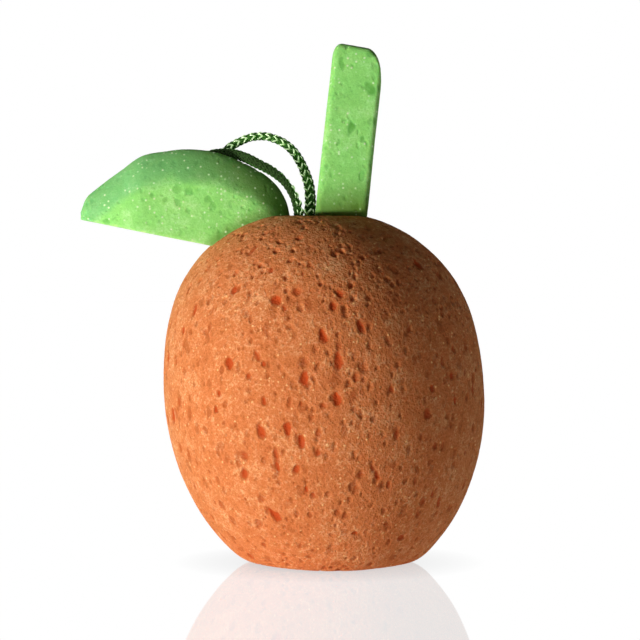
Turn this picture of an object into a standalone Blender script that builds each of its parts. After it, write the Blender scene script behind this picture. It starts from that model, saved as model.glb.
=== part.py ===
"""Bath sponge shaped like an orange: a foam fruit, a foam leaf, a foam stem and a knitted hang loop.

Metres, +Z up. The origin is the middle of the flat base that the sponge stands on.
The front faces -Y and the leaf points to -X. Leaf, stem and loop are rooted in the crown's dimple:
leaf and stem by a tongue glued in a socket, and the loop by a knot drawn down into the foam.
"""

import math

import bmesh
import bpy
import numpy as np
from mathutils import Matrix, Vector

MM = 0.001

# Fit between pieces that touch, and how far a cutter runs past what it cuts
CLEARANCE = 0.3 * MM
OVERRUN = 12.0 * MM

# Fruit: an ellipse below its widest line and a fuller curve above it, round an axis that leans to -X
FRUIT_RADIUS = 50.0 * MM
FRUIT_WIDEST_HEIGHT = 53.5 * MM
FRUIT_CROWN_RISE = 55.7 * MM
FRUIT_CROWN_POWER = 2.32
FRUIT_LEAN_SHARE = 0.042
BASE_RADIUS = 27.0 * MM
BASE_EDGE = 3.0 * MM
DIMPLE_RADIUS = 15.0 * MM
DIMPLE_DEPTH = 6.0 * MM
FRUIT_STEPS = 72

# Stem: a flat strip with a slanted, rounded top, leaning to the right
STEM_WIDTH = 16.1 * MM
STEM_THICKNESS = 12.0 * MM
STEM_HEIGHT = 58.0 * MM
STEM_ROOT = 18.0 * MM
STEM_EDGE = 1.8 * MM
STEM_TOP_DROP = 1.0 * MM
STEM_LEFT_CORNER = 3.0 * MM
STEM_RIGHT_CORNER_WIDTH = 5.6 * MM
STEM_RIGHT_CORNER_HEIGHT = 10.5 * MM
STEM_SEAT_X = 0.6 * MM
STEM_LEAN = math.radians(6.2)

# Leaf: a thick blade on edge, flat underneath and rolled over along its top
LEAF_LENGTH = 65.2 * MM
LEAF_RISE = 29.5 * MM
LEAF_HEEL_X = 12.8 * MM
LEAF_DROP = 4.0 * MM
LEAF_THICKNESS = 14.0 * MM
LEAF_TIP_THICKNESS = 6.0 * MM
LEAF_ROLL = 8.5 * MM
LEAF_EDGE = 1.3 * MM
LEAF_ROOT = 18.0 * MM
LEAF_TONGUE_X = 22.6 * MM
LEAF_TONGUE_WIDTH = 12.0 * MM
LEAF_TONGUE_THICKNESS = 9.0 * MM
LEAF_TONGUE_COVER = 7.0 * MM

# The blade's top line and underside, heel to tip: shares of LEAF_LENGTH and of LEAF_RISE
LEAF_TOP_SHARES = (
    (0.0, 0.293),
    (0.02, 0.455),
    (0.059, 0.6),
    (0.117, 0.72),
    (0.188, 0.815),
    (0.275, 0.905),
    (0.343, 0.96),
    (0.426, 0.993),
    (0.515, 1.0),
    (0.59, 0.98),
    (0.698, 0.936),
    (0.804, 0.781),
    (0.903, 0.62),
    (0.969, 0.495),
    (1.0, 0.335),
)
LEAF_UNDERSIDE_SHARES = ((0.0, -0.189), (1.0, 0.255))
LEAF_TAPER_SHARE = 0.3
LEAF_ROLL_SHARE = 0.6
LEAF_STATIONS = 30

# Glue pads under the two tongues
GLUE_THICKNESS = 1.5 * MM
GLUE_MARGIN = 1.0 * MM

# Hang loop: a knitted cord, its knot, and the axis that the loop folds up about
CORD_RADIUS = 1.6 * MM
CORD_STEP = 7.2 * MM
CORD_END_RUN = 1.0 * MM
KNOT_RADIUS = 6.5 * MM
KNOT_HEIGHT = 9.0 * MM
KNOT_LOBE = 0.7 * MM
KNOT_LOBES = 3
KNOT_POWER = 2.6
KNOT_TOP_SHARE = 0.8
LOOP_AXIS_X = -11.5 * MM
LOOP_AXIS_Y = 4.0 * MM
LOOP_AXIS_RISE = 15.0 * MM
NEAR_ROOT_LENGTH = 34.0 * MM
FAR_ROOT_LENGTH = 37.0 * MM

# The cord's route in millimetres, its heights counted from the dimple's floor: up from the knot in
# front, over the leaf's ridge, down and round behind the leaf, up in a high arch and back to the knot
CORD_ROUTE_MM = (
    (-11.3, -1.2, -24.6),
    (-11.1, -1.2, -17.0),
    (-10.6, -1.2, -9.0),
    (-10.0, -1.1, -2.0),
    (-10.1, -1.0, 5.0),
    (-11.8, -0.9, 11.0),
    (-15.0, -0.8, 15.8),
    (-19.0, -0.8, 18.9),
    (-22.9, -0.4, 20.95),
    (-26.6, 1.2, 22.8),
    (-30.3, 4.0, 24.0),
    (-35.2, 7.4, 24.4),
    (-41.2, 9.3, 23.2),
    (-46.7, 10.0, 20.8),
    (-51.3, 10.3, 16.2),
    (-52.5, 10.6, 10.4),
    (-49.7, 11.0, 5.2),
    (-44.2, 11.3, 3.0),
    (-38.7, 11.6, 5.2),
    (-36.0, 11.8, 10.4),
    (-35.9, 11.6, 16.4),
    (-35.2, 11.4, 21.4),
    (-33.4, 11.2, 25.1),
    (-30.2, 11.2, 27.4),
    (-26.2, 11.2, 29.2),
    (-21.5, 11.2, 29.9),
    (-16.3, 10.9, 28.5),
    (-12.5, 10.6, 25.8),
    (-9.9, 10.3, 22.2),
    (-8.1, 9.9, 18.3),
    (-6.9, 9.4, 14.4),
    (-6.5, 8.8, 10.2),
    (-6.7, 8.1, 5.2),
    (-7.7, 7.2, -1.4),
    (-9.8, 5.6, -9.2),
    (-11.0, 4.6, -16.8),
    (-11.3, 4.3, -24.6),
)

ORANGE_FOAM = (0.76, 0.26, 0.08)
GREEN_FOAM = (0.33, 0.68, 0.18)
GREEN_CORD = (0.03, 0.12, 0.02)
CLEAR_GLUE = (0.75, 0.7, 0.55)

DIMPLE_FLOOR = FRUIT_WIDEST_HEIGHT + FRUIT_CROWN_RISE - DIMPLE_DEPTH


def clear_scene():
    """Removes whatever the open file holds."""
    for item in list(bpy.data.objects):
        bpy.data.objects.remove(item, do_unlink=True)


def finish(name, colour, roughness):
    """A plain Principled material."""
    made = bpy.data.materials.new(name)
    made.use_nodes = True
    shader = made.node_tree.nodes["Principled BSDF"]
    shader.inputs["Base Color"].default_value = (*colour, 1.0)
    shader.inputs["Roughness"].default_value = roughness
    return made


def add_object(name, data, material=None):
    """Links a new object to the scene. Without a material it is a cutter, which stays out of the build."""
    made = bpy.data.objects.new(name, data)
    bpy.context.scene.collection.objects.link(made)
    if material:
        made.data.materials.append(material)
    else:
        made.hide_render = True
        made.display_type = "WIRE"
    return made


def mesh_from(name, bm):
    """Turns a bmesh into a mesh with its faces pointing out, smooth but for its sharp edges."""
    bmesh.ops.recalc_face_normals(bm, faces=bm.faces)
    made = bpy.data.meshes.new(name)
    bm.to_mesh(made)
    bm.free()
    made.shade_smooth()
    made.set_sharp_from_angle(angle=math.radians(40))
    return made


def boolean(body, operation, other):
    """Adds an exact Boolean modifier."""
    step = body.modifiers.new(other.name, "BOOLEAN")
    step.operation = operation
    step.solver = "EXACT"
    step.object = other


def block(name, centre, size, lean=0.0, about=None, material=None):
    """A box of the given size, leaned about the Y axis through a point."""
    bm = bmesh.new()
    bmesh.ops.create_cube(bm, size=1.0)
    bmesh.ops.scale(bm, vec=size, verts=bm.verts)
    bmesh.ops.translate(bm, vec=centre, verts=bm.verts)
    if lean:
        turn = Matrix.Rotation(lean, 4, "Y")
        bmesh.ops.transform(bm, matrix=turn, space=Matrix.Translation(-about), verts=bm.verts)
    return add_object(name, mesh_from(name, bm), material)


def smooth_step(share):
    """Goes from 0 to 1 with level ends."""
    share = np.clip(share, 0.0, 1.0)
    return share * share * (3.0 - 2.0 * share)


def smooth_curve(points, spans=24):
    """Centripetal Catmull-Rom curve through the points, with so many steps in each span."""
    points = np.asarray(points, float)
    before = 2.0 * points[0] - points[1]
    after = 2.0 * points[-1] - points[-2]
    held = np.vstack([before, points, after])
    gaps = np.sqrt(np.linalg.norm(np.diff(held, axis=0), axis=1))
    knots = np.concatenate([[0.0], np.cumsum(gaps)])
    pieces = []
    for i in range(1, len(held) - 2):
        t0, t1, t2, t3 = knots[i - 1 : i + 3]
        p0, p1, p2, p3 = held[i - 1 : i + 3]
        t = np.linspace(t1, t2, spans, endpoint=False)[:, None]
        a1 = (t1 - t) / (t1 - t0) * p0 + (t - t0) / (t1 - t0) * p1
        a2 = (t2 - t) / (t2 - t1) * p1 + (t - t1) / (t2 - t1) * p2
        a3 = (t3 - t) / (t3 - t2) * p2 + (t - t2) / (t3 - t2) * p3
        b1 = (t2 - t) / (t2 - t0) * a1 + (t - t0) / (t2 - t0) * a2
        b2 = (t3 - t) / (t3 - t1) * a2 + (t - t1) / (t3 - t1) * a3
        pieces.append((t2 - t) / (t2 - t1) * b1 + (t - t1) / (t2 - t1) * b2)
    pieces.append(points[-1:])
    return np.vstack(pieces)


def stretch(curve, start, end):
    """Evenly spaced points along a curve between two distances from its beginning.

    A short straight run at each end keeps the end face square to the curve.
    """
    run = np.concatenate([[0.0], np.cumsum(np.linalg.norm(np.diff(curve, axis=0), axis=1))])
    first, last = start + CORD_END_RUN, end - CORD_END_RUN
    count = round((last - first) / CORD_STEP) + 1
    at = np.concatenate([[start], np.linspace(first, last, count), [end]])
    return np.column_stack([np.interp(at, run, curve[:, k]) for k in range(3)])


def fruit_profile(outset=0.0):
    """Half section of the fruit, from the dimple's floor over the crown and down to the base.

    Above the widest line, radius and height follow a superellipse, sunk in the middle by the dimple.
    Below it they follow an ellipse that the base cuts off where its radius is BASE_RADIUS.
    """
    turn = np.linspace(0.0, math.pi / 2, 27)
    radius = FRUIT_RADIUS * np.sin(turn) ** (2.0 / FRUIT_CROWN_POWER)
    height = FRUIT_WIDEST_HEIGHT + FRUIT_CROWN_RISE * np.cos(turn) ** (2.0 / FRUIT_CROWN_POWER)
    height -= DIMPLE_DEPTH * (1.0 - smooth_step(radius / DIMPLE_RADIUS))
    crown = np.column_stack([radius, height])

    depth = FRUIT_WIDEST_HEIGHT / math.sqrt(1.0 - (BASE_RADIUS / FRUIT_RADIUS) ** 2)
    lower = np.linspace(FRUIT_WIDEST_HEIGHT, BASE_EDGE, 16)[1:]
    belly_radius = FRUIT_RADIUS * np.sqrt(1.0 - ((FRUIT_WIDEST_HEIGHT - lower) / depth) ** 2)
    belly = np.column_stack([belly_radius, lower])

    start, corner = belly[-1], np.array([BASE_RADIUS, 0.0])
    end = np.array([BASE_RADIUS - BASE_EDGE, 0.0])
    t = np.linspace(0.0, 1.0, 5)[1:, None]
    edge = (1.0 - t) ** 2 * start + 2.0 * t * (1.0 - t) * corner + t**2 * end
    profile = np.vstack([crown, belly, edge, [[0.0, 0.0]]])
    if outset:
        along = np.gradient(profile, axis=0)
        normal = np.column_stack([-along[:, 1], along[:, 0]])
        normal /= np.linalg.norm(normal, axis=1)[:, None]
        profile = profile + outset * normal
        profile[[0, -1], 0] = 0.0
    return profile


def turned(name, profile, material=None):
    """Turns a half section about the fruit's axis, which leans to -X by FRUIT_LEAN_SHARE of the height.

    The section begins and ends on the axis, and every ring stays level.
    """
    bm = bmesh.new()
    axis = [-FRUIT_LEAN_SHARE * float(z) for _, z in profile]
    top = bm.verts.new((axis[0], 0.0, profile[0][1]))
    foot = bm.verts.new((axis[-1], 0.0, profile[-1][1]))
    turns = np.linspace(0.0, 2.0 * math.pi, FRUIT_STEPS, endpoint=False)
    rings = []
    for (radius, z), middle in zip(profile[1:-1], axis[1:-1]):
        rings.append([bm.verts.new((middle + radius * math.cos(a), radius * math.sin(a), z)) for a in turns])
    for i in range(FRUIT_STEPS):
        j = (i + 1) % FRUIT_STEPS
        bm.faces.new((top, rings[0][i], rings[0][j]))
        bm.faces.new((foot, rings[-1][j], rings[-1][i]))
        for ring, following in zip(rings, rings[1:]):
            bm.faces.new((ring[i], following[i], following[j], ring[j]))
    return add_object(name, mesh_from(name, bm), material)


def lofted(name, sections):
    """Skins closed sections, each a ring of as many points, and caps both ends."""
    bm = bmesh.new()
    rings = [[bm.verts.new(point) for point in ring] for ring in sections]
    for ring, following in zip(rings, rings[1:]):
        for i in range(len(ring)):
            j = (i + 1) % len(ring)
            bm.faces.new((ring[i], ring[j], following[j], following[i]))
    bm.faces.new(rings[0])
    bm.faces.new(rings[-1])
    return mesh_from(name, bm)


def stem_seat():
    """The middle of the stem's lower end, down in its socket."""
    return Vector((STEM_SEAT_X, 0.0, DIMPLE_FLOOR - STEM_ROOT))


def stem_outline():
    """The strip's front, with an elliptical corner at each side of its slanted top, as (x, z) points."""
    half = STEM_WIDTH / 2
    left_top = STEM_ROOT + STEM_HEIGHT
    right_top = left_top - STEM_TOP_DROP
    outline = [(-half, 0.0), (half, 0.0)]
    for angle in np.linspace(0.0, math.pi / 2, 7):
        across = STEM_RIGHT_CORNER_WIDTH * (1.0 - math.cos(angle))
        down = STEM_RIGHT_CORNER_HEIGHT * (1.0 - math.sin(angle))
        outline.append((half - across, right_top - down))
    for angle in np.linspace(math.pi / 2, 0.0, 6):
        across = STEM_LEFT_CORNER * (1.0 - math.cos(angle))
        down = STEM_LEFT_CORNER * (1.0 - math.sin(angle))
        outline.append((-half + across, left_top - down))
    return outline


def make_stem(fruit, green, glue):
    """The leaning strip, its socket in the fruit and the glue pad that it stands on."""
    seat = stem_seat()
    bm = bmesh.new()
    front = bm.faces.new([bm.verts.new((x, -STEM_THICKNESS / 2, z)) for x, z in stem_outline()])
    grown = bmesh.ops.extrude_face_region(bm, geom=[front])["geom"]
    back = [item for item in grown if isinstance(item, bmesh.types.BMVert)]
    bmesh.ops.translate(bm, vec=(0.0, STEM_THICKNESS, 0.0), verts=back)
    strip = add_object("stem", mesh_from("stem", bm), green)
    strip.location = seat
    strip.rotation_euler = (0.0, STEM_LEAN, 0.0)
    bevel = strip.modifiers.new("soft_edges", "BEVEL")
    bevel.width = STEM_EDGE
    bevel.segments = 3
    bevel.limit_method = "ANGLE"
    bevel.angle_limit = math.radians(50)

    reach = STEM_ROOT + DIMPLE_DEPTH + OVERRUN
    below = GLUE_THICKNESS + 2 * CLEARANCE
    socket = block(
        "stem_socket",
        seat + Vector((0.0, 0.0, (reach - below) / 2)),
        (STEM_WIDTH + 2 * CLEARANCE, STEM_THICKNESS + 2 * CLEARANCE, reach + below),
        STEM_LEAN,
        seat,
    )
    boolean(fruit, "DIFFERENCE", socket)
    block(
        "stem_glue",
        seat - Vector((0.0, 0.0, CLEARANCE + GLUE_THICKNESS / 2)),
        (STEM_WIDTH - 2 * GLUE_MARGIN, STEM_THICKNESS - 2 * GLUE_MARGIN, GLUE_THICKNESS),
        STEM_LEAN,
        seat,
        glue,
    )


def leaf_section(x, low, high, half):
    """One ring of the blade: a flat underside, two upright faces and an elliptical roll on top."""
    edge = min(LEAF_EDGE, half / 2, (high - low) / 4)
    roll = min(LEAF_ROLL, LEAF_ROLL_SHARE * (high - low))
    ring = []
    for angle in np.linspace(-math.pi / 2, 0.0, 4):
        y = half - edge + edge * math.cos(angle)
        ring.append((x, y, low + edge + edge * math.sin(angle)))
    for angle in np.linspace(0.0, math.pi, 15):
        ring.append((x, half * math.cos(angle), high - roll + roll * math.sin(angle)))
    for angle in np.linspace(math.pi, 1.5 * math.pi, 4):
        y = -half + edge + edge * math.cos(angle)
        ring.append((x, y, low + edge + edge * math.sin(angle)))
    return ring


def leaf_blade():
    """The blade's mesh, lofted along X from the heel to the tip, with closer sections at both ends."""
    top = smooth_curve([(x, z, 0.0) for x, z in LEAF_TOP_SHARES])
    under = np.array(LEAF_UNDERSIDE_SHARES)
    datum = DIMPLE_FLOOR - LEAF_DROP
    sections = []
    for turn in np.linspace(0.0, math.pi, LEAF_STATIONS):
        share = 0.5 - 0.5 * math.cos(turn)
        high = datum + LEAF_RISE * np.interp(share, top[:, 0], top[:, 1])
        low = datum + LEAF_RISE * np.interp(share, under[:, 0], under[:, 1])
        taper = smooth_step((1.0 - share) / LEAF_TAPER_SHARE)
        thick = LEAF_TIP_THICKNESS + (LEAF_THICKNESS - LEAF_TIP_THICKNESS) * taper
        sections.append(leaf_section(-LEAF_HEEL_X - LEAF_LENGTH * share, low, high, thick / 2))
    return lofted("leaf", sections)


def make_leaf(fruit, green, glue):
    """The blade, cut to sit on the fruit's shoulder, with its tongue, socket and glue pad."""
    leaf = add_object("leaf", leaf_blade(), green)
    boolean(leaf, "DIFFERENCE", turned("leaf_seat", fruit_profile(CLEARANCE)))
    foot = DIMPLE_FLOOR - LEAF_ROOT
    height = LEAF_ROOT + LEAF_TONGUE_COVER
    tongue = block(
        "leaf_tongue",
        Vector((-LEAF_TONGUE_X, 0.0, foot + height / 2)),
        (LEAF_TONGUE_WIDTH, LEAF_TONGUE_THICKNESS, height),
    )
    boolean(leaf, "UNION", tongue)

    reach = LEAF_ROOT + DIMPLE_DEPTH + OVERRUN
    below = GLUE_THICKNESS + 2 * CLEARANCE
    socket = block(
        "leaf_socket",
        Vector((-LEAF_TONGUE_X, 0.0, foot + (reach - below) / 2)),
        (LEAF_TONGUE_WIDTH + 2 * CLEARANCE, LEAF_TONGUE_THICKNESS + 2 * CLEARANCE, reach + below),
    )
    boolean(fruit, "DIFFERENCE", socket)
    block(
        "leaf_glue",
        Vector((-LEAF_TONGUE_X, 0.0, foot - CLEARANCE - GLUE_THICKNESS / 2)),
        (LEAF_TONGUE_WIDTH - 2 * GLUE_MARGIN, LEAF_TONGUE_THICKNESS - 2 * GLUE_MARGIN, GLUE_THICKNESS),
        material=glue,
    )


def knot_bead(name, crown, outset=0.0, material=None):
    """A drawn-up knot as a bead: a squashed ball with three lobes round it and a flat top.

    Its waist follows a superellipse of the height, and crown is the middle of its flat top.
    """
    levels, around = 12, 36
    rings = []
    for i in range(1, levels + 1):
        height = (1.0 + KNOT_TOP_SHARE) * i / levels - 1.0
        waist = (1.0 - abs(height) ** KNOT_POWER) ** (1.0 / KNOT_POWER)
        z = crown.z + (height - KNOT_TOP_SHARE) * KNOT_HEIGHT / (1.0 + KNOT_TOP_SHARE) + height * outset
        ring = []
        for k in range(around):
            angle = 2.0 * math.pi * k / around
            lobe = KNOT_LOBE * (math.cos(KNOT_LOBES * angle + height) - 1.0)
            radius = waist * (KNOT_RADIUS + lobe + outset)
            ring.append((crown.x + radius * math.cos(angle), crown.y + radius * math.sin(angle), z))
        rings.append(ring)
    bm = bmesh.new()
    foot = bm.verts.new((crown.x, crown.y, crown.z - KNOT_HEIGHT - outset))
    skins = [[bm.verts.new(point) for point in ring] for ring in rings]
    for k in range(around):
        j = (k + 1) % around
        bm.faces.new((foot, skins[0][j], skins[0][k]))
        for ring, following in zip(skins, skins[1:]):
            bm.faces.new((ring[k], ring[j], following[j], following[k]))
    bm.faces.new(skins[-1])
    return add_object(name, mesh_from(name, bm), material)


def cord_curve(name, points, radius, origin):
    """A round tube with closed ends along a polyline, measured from the given origin."""
    made = bpy.data.curves.new(name, "CURVE")
    made.dimensions = "3D"
    made.twist_mode = "MINIMUM"
    made.bevel_depth = radius
    made.bevel_resolution = 2
    made.use_fill_caps = True
    line = made.splines.new("POLY")
    line.points.add(len(points) - 1)
    for spot, point in zip(line.points, points):
        spot.co = (*(Vector(point) - origin), 1.0)
    return made


def cord_piece(name, points, material, origin):
    """One stretch of the cord, with its origin at the given point."""
    piece = add_object(name, cord_curve(name, points, CORD_RADIUS, origin), material)
    piece.location = origin


def cord_bore(name, points):
    """The hole that one stretch of the cord runs in, as a cutter."""
    curve = cord_curve(name, points, CORD_RADIUS + CLEARANCE, Vector((0.0, 0.0, 0.0)))
    guide = bpy.data.objects.new(name, curve)
    bpy.context.scene.collection.objects.link(guide)
    seen = guide.evaluated_get(bpy.context.evaluated_depsgraph_get())
    tube = bpy.data.meshes.new_from_object(seen)
    bpy.data.objects.remove(guide, do_unlink=True)
    return add_object(name, tube)


def make_loop(fruit, knit):
    """The hang loop, the two strands that it rises from, their knot, and the room for all in the fruit."""
    lift = np.array([0.0, 0.0, DIMPLE_FLOOR])
    route = smooth_curve(np.array(CORD_ROUTE_MM) * MM + lift)
    total = float(np.linalg.norm(np.diff(route, axis=0), axis=1).sum())
    near_end, far_start = NEAR_ROOT_LENGTH, total - FAR_ROOT_LENGTH
    near = stretch(route, 0.0, near_end - CLEARANCE / 2)
    free = stretch(route, near_end + CLEARANCE / 2, far_start - CLEARANCE / 2)
    far = stretch(route, far_start + CLEARANCE / 2, total)

    crown = Vector((near[0] + far[-1]) / 2) - Vector((0.0, 0.0, CLEARANCE))
    boolean(fruit, "DIFFERENCE", knot_bead("knot_pocket", crown, outset=CLEARANCE))
    sunk = np.array([0.0, 0.0, -2 * CLEARANCE])
    boolean(fruit, "DIFFERENCE", cord_bore("near_bore", [near[0] + sunk, *near]))
    boolean(fruit, "DIFFERENCE", cord_bore("far_bore", [*far, far[-1] + sunk]))

    knot_bead("loop_knot", crown, material=knit)
    root = Vector((0.0, 0.0, 0.0))
    cord_piece("loop_root_near", near, knit, root)
    cord_piece("loop_root_far", far, knit, root)
    axis_point = Vector((LOOP_AXIS_X, LOOP_AXIS_Y, DIMPLE_FLOOR + LOOP_AXIS_RISE))
    cord_piece("hang_loop", free, knit, axis_point)


def build():
    """Makes every piece and cuts the fruit where the others are rooted in it."""
    clear_scene()
    orange = finish("orange_foam", ORANGE_FOAM, 0.9)
    green = finish("green_foam", GREEN_FOAM, 0.9)
    knit = finish("green_cord", GREEN_CORD, 0.7)
    glue = finish("clear_glue", CLEAR_GLUE, 0.4)
    fruit = turned("sponge_body", fruit_profile(), orange)
    make_stem(fruit, green, glue)
    make_leaf(fruit, green, glue)
    make_loop(fruit, knit)


build()
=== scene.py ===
"""Looks of a foam bath sponge shaped like an orange, laid out as a Blender add-on.

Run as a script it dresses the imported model: the fruit, leaf and stem become skins of cut foam,
and the hang loop becomes a knitted cord. Metres, +Z up, and the front faces -Y.
"""

import math

import bpy
import numpy as np
from bpy.props import FloatProperty, FloatVectorProperty, IntProperty, PointerProperty
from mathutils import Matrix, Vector


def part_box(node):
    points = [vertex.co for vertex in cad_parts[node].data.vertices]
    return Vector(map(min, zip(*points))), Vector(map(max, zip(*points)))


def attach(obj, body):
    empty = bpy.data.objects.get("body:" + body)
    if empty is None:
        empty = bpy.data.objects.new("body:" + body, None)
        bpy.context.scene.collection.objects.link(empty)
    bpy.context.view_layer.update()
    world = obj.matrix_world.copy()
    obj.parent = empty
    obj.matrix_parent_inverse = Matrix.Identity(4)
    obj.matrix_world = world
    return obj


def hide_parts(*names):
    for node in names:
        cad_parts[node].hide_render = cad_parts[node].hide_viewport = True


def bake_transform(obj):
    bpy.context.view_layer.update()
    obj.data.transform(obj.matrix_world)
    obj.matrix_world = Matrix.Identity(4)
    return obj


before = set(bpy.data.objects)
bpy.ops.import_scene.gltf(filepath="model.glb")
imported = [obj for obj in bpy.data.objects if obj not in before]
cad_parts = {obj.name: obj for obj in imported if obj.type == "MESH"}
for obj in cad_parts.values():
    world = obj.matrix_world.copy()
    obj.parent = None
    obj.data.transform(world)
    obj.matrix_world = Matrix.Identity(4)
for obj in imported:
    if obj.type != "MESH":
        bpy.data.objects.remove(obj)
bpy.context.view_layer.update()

bl_info = {
    "name": "Orange bath sponge",
    "version": (1, 0, 0),
    "blender": (4, 5, 0),
    "location": "3D View > Sidebar > Sponge",
    "description": "Makes a foam sponge shaped like an orange, with leaf, stem and knitted hang loop",
    "category": "Add Mesh",
}

MM = 0.001
CURVE_STEPS = 24

# The leaf's top line and underside, heel to tip: shares of its length and of its rise
LEAF_TOP_SHARES = (
    (0.0, 0.293),
    (0.02, 0.455),
    (0.059, 0.6),
    (0.117, 0.72),
    (0.188, 0.815),
    (0.275, 0.905),
    (0.343, 0.96),
    (0.426, 0.993),
    (0.515, 1.0),
    (0.59, 0.98),
    (0.698, 0.936),
    (0.804, 0.781),
    (0.903, 0.62),
    (0.969, 0.495),
    (1.0, 0.335),
)
LEAF_UNDERSIDE_SHARES = ((0.0, -0.189), (1.0, 0.255))

# The cord's route in millimetres, its heights counted from the dimple's floor. At each of its points, how
# far the cord's face is turned from the front in degrees, and how wide the cord is there
CORD_ROUTE_MM = (
    (-11.3, -1.2, -24.6),
    (-11.1, -1.2, -17.0),
    (-10.6, -1.2, -9.0),
    (-10.0, -1.1, -2.0),
    (-10.1, -1.0, 5.0),
    (-11.8, -0.9, 11.0),
    (-15.0, -0.8, 15.8),
    (-19.0, -0.8, 18.9),
    (-22.9, -0.4, 20.95),
    (-26.6, 1.2, 22.8),
    (-30.3, 4.0, 24.0),
    (-35.2, 7.4, 24.4),
    (-41.2, 9.3, 23.2),
    (-46.7, 10.0, 20.8),
    (-51.3, 10.3, 16.2),
    (-52.5, 10.6, 10.4),
    (-49.7, 11.0, 5.2),
    (-44.2, 11.3, 3.0),
    (-38.7, 11.6, 5.2),
    (-36.0, 11.8, 10.4),
    (-35.9, 11.6, 16.4),
    (-35.2, 11.4, 21.4),
    (-33.4, 11.2, 25.1),
    (-30.2, 11.2, 27.4),
    (-26.2, 11.2, 29.2),
    (-21.5, 11.2, 29.9),
    (-16.3, 10.9, 28.5),
    (-12.5, 10.6, 25.8),
    (-9.9, 10.3, 22.2),
    (-8.1, 9.9, 18.3),
    (-6.9, 9.4, 14.4),
    (-6.5, 8.8, 10.2),
    (-6.7, 8.1, 5.2),
    (-7.7, 7.2, -1.4),
    (-9.8, 5.6, -9.2),
    (-11.0, 4.6, -16.8),
    (-11.3, 4.3, -24.6),
)
CORD_FACE_TURNS = (
    25, 25, 25, 25, 35, 80, 125, 150, 155, 155, 150, 135,
    115, 92, 70, 50, 30, 10, -8, -18, -25, -28, -30, -30, -28,
    -22, -12, -3, 3, 7, 8, 8, 8, 8, 8, 8, 8,
)
CORD_WIDTHS_MM = (
    4.0, 4.0, 3.9, 3.8, 3.8, 3.8, 3.9, 3.9, 3.9, 3.9, 3.9, 3.8,
    3.6, 3.6, 3.6, 3.6, 3.6, 3.6, 3.6, 3.6, 3.5, 3.4, 3.3, 3.3, 3.2,
    3.2, 3.3, 3.4, 3.6, 3.7, 3.9, 4.1, 4.3, 4.3, 4.2, 4.0, 4.0,
)

# Where the cord leaves the foam, and the line along which it bends when the loop is lifted, all counted
# like the route
CORD_EXIT_MM = (-10.1, -1.1, 1.8)
BEND_START_MM = (-6.5, 4.0, 6.3)
BEND_END_MM = (-19.5, 4.0, 21.3)

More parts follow.
